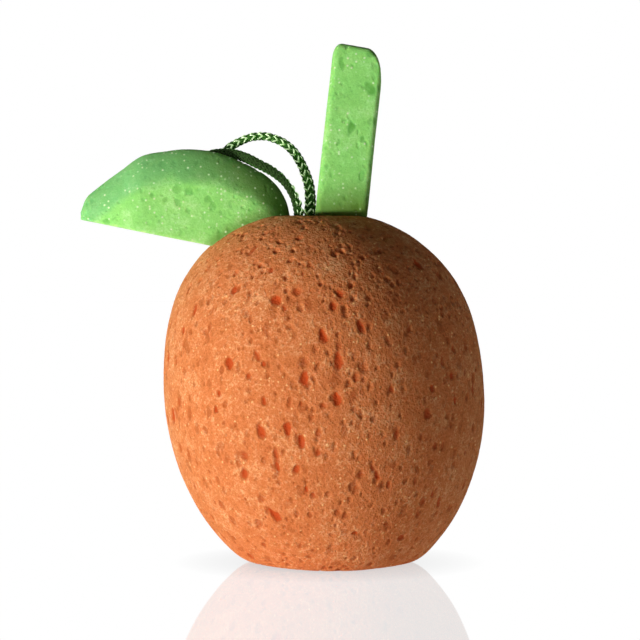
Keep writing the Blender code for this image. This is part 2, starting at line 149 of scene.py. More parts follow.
# Large pores on the fruit's front, read off to half a millimetre: place across, height, half width and
# half length in millimetres, lean in degrees, and how strongly the pore shows, from 0 to 1
FRONT_PORES_MM = (
    (-10.0, 101.0, 1.2, 1.0, 0, 0.6),
    (2.0, 97.5, 1.1, 1.2, 20, 0.6),
    (-24.0, 97.0, 0.8, 2.7, -18, 0.7),
    (-6.5, 93.0, 0.9, 1.0, 0, 0.6),
    (19.0, 91.5, 1.2, 1.6, 0, 0.5),
    (-18.0, 91.5, 0.8, 1.1, 0, 0.8),
    (14.5, 91.5, 0.7, 0.8, 0, 0.6),
    (-8.5, 90.5, 0.6, 0.7, 0, 0.7),
    (-37.5, 88.5, 0.6, 1.4, -5, 0.4),
    (24.0, 87.5, 1.0, 1.4, 10, 0.5),
    (-25.5, 87.5, 0.7, 1.3, 0, 0.6),
    (-29.0, 85.5, 1.0, 1.6, 5, 0.9),
    (-10.5, 85.5, 1.1, 1.5, 0, 0.7),
    (2.5, 84.5, 1.0, 1.5, 30, 0.9),
    (19.5, 84.5, 0.8, 1.0, 30, 0.5),
    (-36.0, 83.5, 1.0, 1.0, 0, 0.4),
    (11.0, 83.5, 1.2, 1.1, 20, 0.5),
    (-24.5, 83.5, 0.7, 1.8, -10, 0.4),
    (-16.5, 83.0, 1.7, 1.9, 10, 1.0),
    (31.0, 82.0, 0.9, 1.4, 15, 0.6),
    (-22.0, 82.0, 0.7, 0.8, 0, 0.5),
    (0.5, 81.0, 1.1, 1.7, 12, 0.9),
    (-14.0, 80.5, 0.7, 1.3, 15, 0.8),
    (7.0, 79.0, 0.6, 1.2, 15, 0.5),
    (4.0, 78.5, 1.1, 1.2, 0, 0.5),
    (-24.0, 77.0, 0.7, 1.9, 10, 0.6),
    (8.5, 75.0, 1.1, 2.9, 20, 0.9),
    (-36.5, 74.5, 0.9, 1.8, 0, 0.6),
    (23.0, 74.0, 1.0, 1.5, 10, 0.6),
    (-23.5, 73.5, 0.8, 0.8, 0, 0.5),
    (-19.0, 73.0, 0.7, 1.1, 0, 0.6),
    (-2.5, 72.5, 1.2, 2.6, 20, 1.0),
    (16.5, 71.0, 1.0, 1.7, 15, 0.6),
    (11.0, 69.5, 0.8, 1.5, 0, 0.6),
    (2.0, 69.5, 0.9, 1.4, 0, 0.6),
    (-5.0, 68.5, 0.8, 1.6, 5, 0.5),
    (-22.0, 66.5, 1.1, 1.9, 25, 0.8),
    (26.0, 66.5, 0.8, 1.4, 0, 0.4),
    (6.5, 66.0, 0.7, 1.1, 0, 0.5),
    (-8.0, 65.0, 1.1, 1.7, 0, 0.6),
    (2.0, 65.0, 1.4, 2.8, 5, 0.9),
    (-20.0, 64.0, 0.8, 1.1, 15, 0.9),
    (-30.5, 64.0, 1.4, 2.5, 5, 1.0),
    (9.5, 63.5, 1.0, 2.6, 5, 0.6),
    (-40.0, 63.5, 0.7, 1.2, 0, 0.4),
    (-27.5, 63.0, 0.9, 2.0, 0, 0.4),
    (-24.5, 60.5, 0.9, 1.2, 0, 0.8),
    (7.0, 60.0, 1.0, 1.7, 10, 0.7),
    (-8.0, 60.0, 1.6, 2.6, -5, 1.0),
    (-11.5, 58.0, 0.8, 1.4, 5, 0.5),
    (-45.5, 58.0, 0.8, 1.4, 0, 0.4),
    (17.5, 56.5, 0.9, 1.3, 10, 0.8),
    (-33.5, 55.0, 0.8, 1.1, 0, 0.9),
    (1.5, 54.0, 1.4, 2.8, 5, 1.0),
    (-12.5, 53.0, 0.7, 1.7, -5, 0.6),
    (-20.0, 53.0, 1.0, 1.6, 5, 0.9),
    (-9.0, 52.5, 0.8, 1.5, 0, 0.7),
    (-2.5, 52.0, 1.3, 1.4, 0, 0.7),
    (6.5, 51.0, 0.9, 1.1, -10, 0.6),
    (-34.5, 50.0, 0.8, 1.2, 0, 0.9),
    (12.5, 48.0, 0.9, 1.2, 0, 0.6),
    (-13.0, 44.5, 1.3, 2.8, 3, 1.0),
    (-21.0, 44.0, 1.5, 2.5, 15, 0.9),
    (-4.0, 44.0, 0.8, 2.0, 0, 0.7),
    (11.0, 43.0, 0.6, 1.1, 0, 0.5),
    (19.0, 43.0, 1.0, 2.0, 0, 0.7),
    (-9.0, 41.5, 1.2, 2.9, 5, 1.0),
    (31.0, 39.0, 1.1, 1.5, 0, 0.7),
    (-4.0, 38.0, 1.0, 1.2, 0, 0.8),
    (6.5, 38.0, 0.8, 1.2, 0, 0.5),
    (-38.5, 38.0, 0.8, 1.0, 0, 0.4),
    (-34.0, 37.5, 0.9, 2.1, 12, 0.5),
    (-16.5, 37.0, 1.1, 2.4, 10, 0.8),
    (-26.0, 36.5, 1.2, 1.5, 0, 0.7),
    (12.0, 33.5, 0.7, 1.4, 25, 0.8),
    (-16.0, 33.5, 0.8, 1.9, 12, 0.9),
    (-10.5, 33.0, 1.1, 1.4, 0, 0.9),
    (37.0, 32.5, 1.1, 1.3, 0, 0.6),
    (8.5, 31.5, 1.2, 1.7, 5, 0.7),
    (-26.0, 31.0, 1.5, 2.4, -3, 0.9),
    (13.5, 30.5, 1.0, 1.9, 25, 0.9),
    (25.0, 28.5, 0.8, 1.3, 10, 0.7),
    (17.0, 28.0, 0.8, 1.5, 5, 0.8),
    (7.0, 27.5, 1.2, 1.9, 10, 0.6),
    (-7.5, 27.0, 0.9, 1.6, -3, 0.9),
    (-5.5, 25.0, 1.0, 1.5, 5, 0.8),
    (30.5, 24.0, 0.7, 1.3, 20, 0.8),
    (-21.0, 23.5, 1.1, 1.4, 0, 0.6),
    (27.5, 22.0, 1.1, 1.7, 0, 0.7),
    (32.5, 21.0, 0.9, 1.8, 20, 0.8),
    (1.5, 19.5, 1.1, 1.3, 0, 0.6),
    (-17.5, 19.0, 1.2, 3.2, 35, 1.0),
    (4.0, 18.5, 1.0, 1.0, 20, 0.6),
    (36.0, 18.5, 0.9, 1.8, 10, 0.6),
    (26.0, 18.0, 0.9, 1.8, 12, 0.6),
    (-30.0, 15.5, 1.2, 2.0, 10, 0.5),
    (-22.0, 15.5, 1.3, 1.7, 20, 0.6),
    (16.5, 15.5, 0.9, 0.9, 0, 0.6),
    (7.0, 13.0, 1.0, 0.8, 0, 0.8),
    (21.0, 10.5, 1.2, 1.2, 0, 0.8),
    (-9.5, 9.0, 0.7, 1.0, 0, 0.6),
)

CORNERS = np.array([(i, j, k) for i in (0, 1) for j in (0, 1) for k in (0, 1)])


def from_screen(red, green, blue):
    """A colour written as screen values from 0 to 255, as the linear values that Blender keeps."""
    shares = np.array([red, green, blue]) / 255.0
    return tuple(np.where(shares <= 0.04045, shares / 12.92, ((shares + 0.055) / 1.055) ** 2.4).tolist())


# Numbers


def smooth_step(share):
    """Goes from 0 to 1 with level ends: 3 times the square less 2 times the cube."""
    share = np.clip(share, 0.0, 1.0)
    return share * share * (3.0 - 2.0 * share)


def scatter(cells, seed, count):
    """Repeatable numbers from 0 to 1 for a grid's cells.

    The three indices are multiplied by large primes and joined bit by bit, then mixed by shifting and
    multiplying, once for each of the columns asked for.
    """
    word = (cells[:, 0] * 73856093 ^ cells[:, 1] * 19349663 ^ cells[:, 2] * 83492791) & 0xFFFFFFFF
    columns = []
    for k in range(count):
        mixed = (word + (seed * 31 + k) * 0x9E3779B9) & 0xFFFFFFFF
        for _ in range(2):
            mixed = (((mixed >> 16) ^ mixed) * 0x45D9F3B) & 0xFFFFFFFF
        columns.append(((mixed >> 16) ^ mixed) / 4294967295.0)
    return np.column_stack(columns)


def cloud(points, size, seed):
    """Smooth noise from -1 to 1: random values at the corners of equal cells, joined by smooth steps."""
    at = points / size
    base = np.floor(at).astype(np.int64)
    share = smooth_step(at - base)
    total = np.zeros(len(points))
    for corner in CORNERS:
        weight = np.where(corner, share, 1.0 - share).prod(axis=1)
        total += weight * scatter(base + corner, seed, 1)[:, 0]
    return 2.0 * total - 1.0


def bubbles(points, inward, size, low, high, share, stretch, deepest, seed):
    """How deep the bubbles of a foam cut open its surface.

    Each cell of a grid may hold one ball at a random place, stretched along Z. Where a point of the
    surface is inside a ball, the depth is how far a line into the foam runs until it leaves the ball:
    the larger root of the ball's quadratic equation. The depth fades out over the ball's rim.
    """
    squeeze = np.array([1.0, 1.0, 1.0 / stretch])
    at = points * squeeze
    heading = inward * squeeze
    square = (heading**2).sum(axis=1)
    base = np.floor(at / size - 0.5).astype(np.int64)
    depth = np.zeros(len(points))
    for corner in CORNERS:
        cell = base + corner
        chance = scatter(cell, seed, 5)
        radius = size * (low + (high - low) * chance[:, 3])
        gap = at - (cell + chance[:, :3]) * size
        along = (gap * heading).sum(axis=1)
        apart = (gap**2).sum(axis=1)
        inside = (apart < radius**2) & (chance[:, 4] < share)
        root = np.sqrt(np.maximum(along**2 - square * (apart - radius**2), 0.0))
        reach = np.minimum((root - along) / square, deepest)
        rim = np.clip(3.0 * (1.0 - np.sqrt(apart) / radius), 0.0, 1.0)
        depth = np.maximum(depth, np.where(inside, reach * rim, 0.0))
    return depth


def smooth_curve(points):
    """Centripetal Catmull-Rom curve through the points, with the same number of steps in each span."""
    points = np.asarray(points, float)
    before = 2.0 * points[0] - points[1]
    after = 2.0 * points[-1] - points[-2]
    held = np.vstack([before, points, after])
    gaps = np.sqrt(np.linalg.norm(np.diff(held, axis=0), axis=1))
    knots = np.concatenate([[0.0], np.cumsum(gaps)])
    pieces = []
    for i in range(1, len(held) - 2):
        t0, t1, t2, t3 = knots[i - 1 : i + 3]
        p0, p1, p2, p3 = held[i - 1 : i + 3]
        t = np.linspace(t1, t2, CURVE_STEPS, endpoint=False)[:, None]
        a1 = (t1 - t) / (t1 - t0) * p0 + (t - t0) / (t1 - t0) * p1
        a2 = (t2 - t) / (t2 - t1) * p1 + (t - t1) / (t2 - t1) * p2
        a3 = (t3 - t) / (t3 - t2) * p2 + (t - t2) / (t3 - t2) * p3
        b1 = (t2 - t) / (t2 - t0) * a1 + (t - t0) / (t2 - t0) * a2
        b2 = (t3 - t) / (t3 - t1) * a2 + (t - t1) / (t3 - t1) * a3
        pieces.append((t2 - t) / (t2 - t1) * b1 + (t - t1) / (t2 - t1) * b2)
    pieces.append(points[-1:])
    return np.vstack(pieces)


def run_along(curve):
    """The distance of each point of a curve from its beginning."""
    return np.concatenate([[0.0], np.cumsum(np.linalg.norm(np.diff(curve, axis=0), axis=1))])


def looked_up(at, run, table):
    """The rows of a table at distances between those that its rows belong to."""
    return np.column_stack([np.interp(at, run, table[:, k]) for k in range(table.shape[1])])


def unit(vectors):
    """Vectors brought to length one."""
    return vectors / np.maximum(np.linalg.norm(vectors, axis=1), 1e-12)[:, None]


# Meshes


def grid_quads(rows, columns, closed=False):
    """Quads between neighbours in a grid stored row by row. Closed joins the last column to the first."""
    i, j = np.meshgrid(np.arange(rows - 1), np.arange(columns if closed else columns - 1), indexing="ij")
    following = (j + 1) % columns
    corners = (i * columns + j, (i + 1) * columns + j, (i + 1) * columns + following, i * columns + following)
    return np.stack(corners, axis=-1).reshape(-1, 4)


def weld(points, quads):
    """Makes points at the same place one, drops faces without area, and turns all faces outwards."""
    keys = np.round(points / 1e-7).astype(np.int64)
    _, first, place = np.unique(keys, axis=0, return_index=True, return_inverse=True)
    quads = place.reshape(-1)[quads]
    same = quads == np.roll(quads, -1, axis=1)
    whole = quads[~same.any(axis=1)]
    once = same.sum(axis=1) == 1
    shift = (np.argmax(same[once], axis=1)[:, None] + np.arange(1, 4)) % 4
    thirds = np.take_along_axis(quads[once], shift, axis=1)
    kept = (whole[:, 0] != whole[:, 2]) & (whole[:, 1] != whole[:, 3])
    points = points[first]
    return (points, *outward(points, whole[kept], thirds))


def outward(points, quads, thirds):
    """Turns all faces of a closed surface round where they enclose a volume below zero.

    The volume is a sixth of the sum of the triple products of each triangle's corners.
    """
    halves = np.vstack([quads[:, [0, 1, 2]], quads[:, [0, 2, 3]], thirds.reshape(-1, 3)])
    a, b, c = (points[halves[:, k]] for k in range(3))
    if (a * np.cross(b, c)).sum() < 0.0:
        return quads[:, ::-1], thirds[:, ::-1]
    return quads, thirds


def vertex_normals(points, quads, thirds):
    """Each point's normal: the sum of the cross products of the diagonals or edges of the faces round it."""
    total = np.zeros_like(points)
    across = np.cross(points[quads[:, 2]] - points[quads[:, 0]], points[quads[:, 3]] - points[quads[:, 1]])
    pairs = [(quads, across)]
    if len(thirds):
        edge = points[thirds]
        pairs.append((thirds, np.cross(edge[:, 1] - edge[:, 0], edge[:, 2] - edge[:, 0])))
    for faces, face_normals in pairs:
        for corner in range(faces.shape[1]):
            for axis in range(3):
                total[:, axis] += np.bincount(faces[:, corner], face_normals[:, axis], len(points))
    return unit(total)


def new_mesh(name, points, quads, thirds=None, values=None):
    """Puts arrays of points, quads and triangles into a smooth mesh object, with point values by name."""
    thirds = np.zeros((0, 3), int) if thirds is None else thirds
    mesh = bpy.data.meshes.new(name)
    mesh.vertices.add(len(points))
    mesh.vertices.foreach_set("co", np.ascontiguousarray(points, np.float32).ravel())
    mesh.loops.add(quads.size + thirds.size)
    mesh.loops.foreach_set("vertex_index", np.concatenate([quads.ravel(), thirds.ravel()]).astype(np.int32))
    mesh.polygons.add(len(quads) + len(thirds))
    starts = np.concatenate([4 * np.arange(len(quads)), quads.size + 3 * np.arange(len(thirds))])
    mesh.polygons.foreach_set("loop_start", starts.astype(np.int32))
    mesh.update(calc_edges=True)
    mesh.shade_smooth()
    for key, value in (values or {}).items():
        mesh.attributes.new(key, "FLOAT", "POINT").data.foreach_set("value", value.astype(np.float32))
    made = bpy.data.objects.new(name, mesh)
    bpy.context.scene.collection.objects.link(made)
    return made


def settle(piece, material, slot, bodies, *nodes):
    """Gives a finished piece its material and its body if it has only one, and hides the solids that it
    stands for. The slot is not used.
    """
    piece.data.materials.append(material)
    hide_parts(*nodes)
    if len(bodies) == 1:
        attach(piece, bodies[0])


# Materials


class Link:
    """A node's output that takes part in Python sums. Each sum adds one Math node."""

    def __init__(self, finish, socket):
        self.finish = finish
        self.socket = socket

    def sum(self, operation, first, second):
        return self.finish.node("Math", {"operation": operation}, {0: first, 1: second})

    def __add__(self, other):
        return self.sum("ADD", self, other)

    def __radd__(self, other):
        return self.sum("ADD", other, self)

    def __sub__(self, other):
        return self.sum("SUBTRACT", self, other)

    def __rsub__(self, other):
        return self.sum("SUBTRACT", other, self)

    def __mul__(self, other):
        return self.sum("MULTIPLY", self, other)

    def __rmul__(self, other):
        return self.sum("MULTIPLY", other, self)

    def __pow__(self, other):
        return self.sum("POWER", self, other)

    def step(self, low, high):
        """Goes smoothly from 0 at low to 1 at high."""
        settings = {"interpolation_type": "SMOOTHSTEP"}
        return self.finish.node("MapRange", settings, {"Value": self, "From Min": low, "From Max": high})


class Finish:
    """A node material round one Principled shader, whose plain numbers are set on its own sockets."""

    def __init__(self, name, **numbers):
        self.material = bpy.data.materials.new(name)
        self.material.use_nodes = True
        self.tree = self.material.node_tree
        self.shader = self.tree.nodes["Principled BSDF"]
        for key, value in numbers.items():
            self.shader.inputs[key.replace("_", " ").title().replace("Ior", "IOR")].default_value = value

    def node(self, kind, settings, values, output=0):
        """Adds one node: its settings first, then the values or links of its sockets."""
        made = self.tree.nodes.new("ShaderNode" + kind)
        for key, value in settings.items():
            if key == "stops":
                ramp = made.color_ramp
                while len(ramp.elements) < len(value):
                    ramp.elements.new(0.5)
                for element, (at, colour) in zip(ramp.elements, value):
                    element.position = at
                    element.color = (*colour, 1.0)
            else:
                setattr(made, key, value)
        for key, value in values.items():
            if isinstance(value, Link):
                self.tree.links.new(value.socket, made.inputs[key])
            else:
                made.inputs[key].default_value = value
        return Link(self, made.outputs[output])

    def place(self):
        """The point in the piece's own space, which is the row's frame."""
        return self.node("TexCoord", {}, {}, "Object")

    def value(self, name):
        """A number that the mesh carries at each point."""
        return self.node("Attribute", {"attribute_name": name}, {}, "Fac")

    def noise(self, place, size, detail=2.0):
        """Soft noise about 0.5 with features of the given size in metres."""
        return self.node("TexNoise", {}, {"Vector": place, "Scale": 1.0 / size, "Detail": detail})

    def cells(self, place, size, output="Distance"):
        """Foam cells of the given size: the distance from a cell's middle, or its own random colour."""
        return self.node("TexVoronoi", {}, {"Vector": place, "Scale": 1.0 / size}, output)

    def colours(self, factor, stops):
        """A colour looked up between stops."""
        return self.node("ValToRGB", {"stops": stops}, {"Fac": factor})

    def mixed(self, factor, first, second):
        """Goes from the first colour to the second."""
        first = first if isinstance(first, Link) else (*first, 1.0)
        second = second if isinstance(second, Link) else (*second, 1.0)
        return self.node("Mix", {"data_type": "RGBA"}, {0: factor, 6: first, 7: second}, 2)

    def connect(self, name, value):
        """Links a value to one of the shader's sockets."""
        self.tree.links.new(value.socket, self.shader.inputs[name])

    def raise_by(self, height, depth):
        """Bumps the surface by a height from 0 to 1 times a depth in metres."""
        self.connect("Normal", self.node("Bump", {}, {"Height": height, "Distance": depth, "Strength": 1.0}))


def foam_finish(name, s, edges):
    """Matt cut foam: fine cells with lighter walls, pores in darker and redder colour as painted shade and
    painted inner glow, and scattered glints.

    Two sizes of round cells and four of noise are added up for the colour, and all but the two wide noises
    for the bump. The edges are pairs of a point value's name and the colour of painted shade that it brings
    in. The cells' share in the colour is the contrast, and that of the two wide noises is how cloudy the foam
    is.
    """
    finish = Finish(
        name,
        roughness=0.9,
        specular_ior_level=0.04,
        subsurface_weight=0.4,
        subsurface_radius=(1.0, 0.45, 0.25),
        subsurface_scale=2.0 * MM,
        sheen_weight=0.12,
        sheen_roughness=0.5,
        sheen_tint=(*s.bright, 1.0),
    )
    place = finish.place()
    hollow = finish.value("hollow")
    patches = finish.noise(place, 11 * MM, 3.0) - 0.5
    specks = finish.noise(place, 1.3 * MM, 2.0) - 0.5
    grain = finish.noise(place, 0.42 * MM, 2.0) - 0.5
    walls = finish.cells(place, s.cell) - 0.45
    tiny = finish.cells(place, 0.55 * s.cell) - 0.45
    mottle = finish.noise(place, 3.4 * MM, 2.0) - 0.5
    fine = (specks * 0.6 + grain * 0.8 + walls * 0.45 + tiny * 0.45) * s.contrast
    shaded = tuple(0.8 * p + 0.2 * d for p, d in zip(s.plain, s.dark))
    tone = 0.54 + (patches + mottle) * s.cloudy + fine
    skin = finish.colours(tone, [(0.05, s.dark), (0.36, shaded), (0.6, s.plain), (0.95, s.bright)])
    # Painted shade and glow in the pores: the hollow value darkens the colour, and the deepest parts turn to
    # a redder colour that stands in for light glowing inside the foam.
    skin = finish.mixed(hollow.step(0.04, 0.5) * 0.45, skin, s.dark)
    skin = finish.mixed(hollow.step(0.4, 1.0) * 0.85, skin, s.deep)
    # Each edge lays a colour of painted shade over the skin.
    for value, colour in edges:
        skin = finish.mixed(finish.value(value), skin, colour)
    chip = 1.3 * MM
    spark = finish.node("SeparateColor", {}, {"Color": finish.cells(place, chip, "Color")}, 0)
    chosen = spark.step(1.0 - s.sparks, 1.0 - 0.2 * s.sparks)
    shine = chosen * (1.0 - finish.cells(place, chip).step(0.08, 0.38)) * (1.0 - hollow.step(0.1, 0.5))
    finish.connect("Base Color", finish.mixed(shine, skin, s.glint))
    finish.connect("Metallic", shine * 0.3)
    finish.connect("Roughness", 0.9 - shine * 0.5)
    finish.raise_by(walls * 0.55 + tiny * 0.4 + specks * 0.35 + grain * 0.45 + shine * 0.4, s.relief)
    return finish.material


def yarn_finish(name, dark, light, bright, back):
    """Knitting yarn: two twisted plies shown as slanting ribs, and one bright metal-like thread."""
    finish = Finish(
        name,
        roughness=0.75,
        specular_ior_level=0.3,
        sheen_weight=0.25,
        sheen_roughness=0.5,
        sheen_tint=(*light, 1.0),
    )
    place = finish.place()
    shine = finish.value("bright")
    ply = finish.node("SeparateXYZ", {}, {"Vector": finish.node("UVMap", {"uv_map": "thread"}, {})}, 0)
    ribs = finish.node("Math", {"operation": "SINE"}, {0: ply * (2.0 * math.pi)}) * 0.5 + 0.5
    fuzz = finish.noise(place, 0.5 * MM, 3.0)
    wool = finish.mixed(ribs * 0.45 + (fuzz - 0.5) * 1.4 + 0.1, dark, light)
    # Painted shade, darker the farther a thread lies round from the bright column.
    wool = finish.mixed(finish.value("back").step(0.3, 0.9) * 0.8, wool, back)
    finish.connect("Base Color", finish.mixed(shine, wool, bright))
    finish.connect("Metallic", shine * 0.85)
    finish.connect("Roughness", 0.8 - shine * 0.45)
    finish.raise_by(ribs * 0.5 + fuzz * 0.6, 0.12 * MM)
    return finish.material


def glue_finish(name, colour):
    """Set hot-melt glue: milky and smooth, a little cloudy."""
    finish = Finish(name, roughness=0.3, specular_ior_level=0.5)
    haze = finish.noise(finish.place(), 3 * MM, 2.0)
    finish.connect("Base Color", finish.mixed(haze, colour, tuple(0.8 * c for c in colour)))
    finish.raise_by(haze, 0.2 * MM)
    return finish.material


# Settings


def length(name, description, default):
    """A size in metres."""
    return FloatProperty(
        name=name,
        description=description,
        default=default,
        min=0.0,
        precision=5,
        unit="LENGTH",
    )


def share(name, description, default, low=0.0, high=1.0):
    """A plain number."""
    return FloatProperty(name=name, description=description, default=default, min=low, max=high)


def location(name, description, x, y, z):
    """A place in metres."""
    return FloatVectorProperty(
        name=name,
        description=description,
        default=(x, y, z),
        size=3,
        subtype="XYZ",
        unit="LENGTH",
    )


def tint(name, description, red, green, blue):
    """A colour, written as it shows on a screen."""
    return FloatVectorProperty(
        name=name,
        description=description,
        default=from_screen(red, green, blue),
        size=3,
        min=0.0,
        max=1.0,
        subtype="COLOR",
    )


class FruitSettings(bpy.types.PropertyGroup):
    """Sizes and colours of the orange foam fruit."""

    radius: length("Radius", "Half the fruit's width at its widest line", 50 * MM)
    widest: length("Widest height", "Height of the widest line above the base", 53.5 * MM)
    rise: length("Crown rise", "From the widest line up to the crown", 55.7 * MM)
    power: share("Crown power", "2 is an ellipse, and more is fuller", 2.32, 1.5, 4.0)
    lean: share("Lean", "How far the axis leans to -X, as a share of the height", 0.042)
    base: length("Base radius", "Half the flat base's width", 27 * MM)
    base_edge: length("Base edge", "Rounding of the base's rim", 3 * MM)
    dimple: length("Dimple radius", "Half the width of the crown's dimple", 15 * MM)
    dimple_depth: length("Dimple depth", "Depth of the crown's dimple", 6 * MM)
    count: IntProperty(name="Grid", description="Faces along a side of each of the six patches", default=212)
    pores: IntProperty(name="Large pores", description="Large pores all round", default=430)
    quiet_from: length("Quiet from", "Height over which the pores behind show at half strength", 94 * MM)
    bubble: length("Bubble size", "The size that all bubbles follow", 1 * MM)
    bubble_relief: share("Bubble relief", "How deep the bubbles are cut", 0.6)
    coarse: share("Coarse crown", "How much deeper the bubbles are cut in the crown", 0.75)
    coarse_from: length("Coarse from", "Height from which the bubbles get deeper", 66 * MM)
    coarse_run: length("Coarse run", "Height over which the bubbles get deeper", 28 * MM)
    stretch: share("Stretch", "Height of a bubble for its width", 1.5, 0.5, 3.0)
    rough: length("Unevenness", "Height of the slow unevenness", 0.25 * MM)
    blot: length("Blot size", "The size that the wide blots follow", 4.2 * MM)
    blots: share("Blots", "How strongly the wide blots show", 0.42)
    cell: length("Cell size", "Size of the finish's cells", 0.95 * MM)
    relief: length("Fine relief", "Depth of the finish's own relief", 0.27 * MM)
    contrast: share("Contrast", "Share of the cells in the colour", 0.7)
    cloudy: share("Clouds", "Share of the wide noise in the colour", 0.5)
    sparks: share("Sparks", "Share of the chips that may glint", 0.3)
    plain: tint("Foam", "Colour of the lit foam", 226, 134, 78)
    # Painted inner glow: the redder pore colour stands in for light scattered inside the foam.
    deep: tint("Pores", "Colour down in the pores", 204, 76, 30)
    dark: tint("Cells", "Colour of the dark cells", 166, 72, 28)
    bright: tint("Cell walls", "Colour of the lightest cell walls", 250, 186, 132)
    glint: tint("Glints", "Colour of the small glints", 255, 202, 138)


class LeafSettings(bpy.types.PropertyGroup):
    """Sizes and colours of the foam leaf, and the green foam that it shares with the stem."""

    long: length("Length", "Heel to tip", 65.2 * MM)
    rise: length("Rise", "Height of the ridge above the datum", 29.5 * MM)
    heel: length("Heel", "Distance of the heel from the origin, to -X", 12.8 * MM)
    drop: length("Drop", "How far the datum lies below the dimple's floor", 4 * MM)
    thick: length("Thickness", "Thickness of the blade", 14 * MM)
    tip_thick: length("Tip thickness", "Thickness at the tip", 6 * MM)
    roll: length("Roll", "Height of the rolled-over top", 11.2 * MM)
    roll_power: share("Roll power", "2 is an ellipse, and less is more of a slope", 1.4, 1.0, 3.0)
    heel_round: length("Heel round", "Length over which the heel is rounded", 15 * MM)
    edge: length("Edge", "Rounding of the lower edges", 0.8 * MM)
    taper: share("Taper", "Share of the length over which the tip thins", 0.3)
    sunk: length("Sunk", "How far the foot goes down into the fruit", 3 * MM)
    bubble: length("Bubble size", "The size that all bubbles follow", 0.8 * MM)
    bubble_relief: share("Bubble relief", "How deep the bubbles are cut", 0.3)
    stretch: share("Stretch", "Height of a bubble for its width", 1.05, 0.5, 3.0)
    rough: length("Unevenness", "Height of the slow unevenness", 0.12 * MM)
    blot: length("Blot size", "The size that the wide blots follow", 4.2 * MM)
    blots: share("Blots", "How strongly the wide blots show", 0.5)
    # The band is painted shade on the leaf's rolled top, which turns away from the lamp.
    band_tall: length("Band height", "Height of the painted_shade band along the top", 12 * MM)
    band_fade: length("Band fade", "Height over which the band comes in", 5 * MM)
    band_uneven: length("Uneven band", "How far the band's edge wanders", 1.6 * MM)
    band_show: share("Band strength", "How strongly the band's colour shows at the tip", 0.6)
    shade: share("Shade", "How much of the foot's colour the band has at the heel", 0.72)
    shade_run: share("Shade's run", "Share of the length over which that shade fades", 0.75)
    # Painted shade at the leaf's foot, where it meets the fruit.
    foot_shade_show: share("Foot strength", "How strongly the foot's colour shows", 0.55)
    foot_shade_reach: length("Foot reach", "Height over which the foot's colour fades", 5 * MM)
    cell: length("Cell size", "Size of the finish's cells", 0.8 * MM)
    relief: length("Fine relief", "Depth of the finish's own relief", 0.08 * MM)
    contrast: share("Contrast", "Share of the cells in the colour", 0.5)
    cloudy: share("Clouds", "Share of the wide noise in the colour", 0.7)
    sparks: share("Sparks", "Share of the chips that may glint", 0.38)
    plain: tint("Foam", "Colour of the lit foam", 164, 238, 130)
    # Painted inner glow: the deeper pore colour stands in for light scattered inside the foam.
    deep: tint("Pores", "Colour down in the pores", 100, 182, 72)
    dark: tint("Cells", "Colour of the dark cells", 110, 194, 86)
    bright: tint("Cell walls", "Colour of the lightest cell walls", 200, 254, 166)
    glint: tint("Glints", "Colour of the small glints", 232, 255, 204)
    # Painted shade: this darker olive green with an orange tint stands in for the shade and the fruit's
    # orange bounce light at the foot of leaf and stem.
    foot: tint("Foot", "Colour of the foam near the fruit and the cord", 104, 136, 50)
    # Painted shade: the band's darker, bluer green stands in for the shade on the leaf's rolled top.
    band: tint("Band", "Colour of the painted_shade band along the leaf's top", 124, 204, 130)


class StemSettings(bpy.types.PropertyGroup):
    """Sizes of the foam stem. Its colours are the leaf's."""

    wide: length("Width", "Width of the strip", 16.1 * MM)
    thick: length("Thickness", "Thickness of the strip", 12 * MM)
    tall: length("Height", "Height above the dimple's floor", 58 * MM)
    root: length("Root", "Length below the dimple's floor", 18 * MM)
    edge: length("Edge", "Rounding of the long edges", 1.8 * MM)
    top_drop: length("Top drop", "How far the top slants down to the right", 1 * MM)
    left_corner: length("Left corner", "Rounding of the left top corner", 3 * MM)
    right_wide: length("Right corner width", "Width of the right top corner's rounding", 5.6 * MM)
    right_tall: length("Right corner height", "Height of the right top corner's rounding", 10.5 * MM)
    seat: length("Seat", "The foot's distance from the origin, to +X", 0.6 * MM)
    hidden: length("Hidden", "Length of the root's end that the skin leaves out", 8 * MM)
    bubble: length("Bubble size", "The size that all bubbles follow", 0.8 * MM)
    bubble_relief: share("Bubble relief", "How deep the bubbles are cut", 0.4)
    stretch: share("Stretch", "Height of a bubble for its width", 1.35, 0.5, 3.0)
    rough: length("Unevenness", "Height of the slow unevenness", 0.12 * MM)
    blot: length("Blot size", "The size that the wide blots follow", 4.2 * MM)
    blots: share("Blots", "How strongly the wide blots show", 0.7)
    # Painted shade at the stem's foot, where it meets the fruit.
    foot_shade_show: share("Foot strength", "How strongly the foot's colour shows", 0.9)
    foot_shade_reach: length("Foot reach", "Height over which the foot's colour fades", 15 * MM)
    lean: FloatProperty(name="Lean", description="To the right", default=math.radians(6.2), subtype="ANGLE")


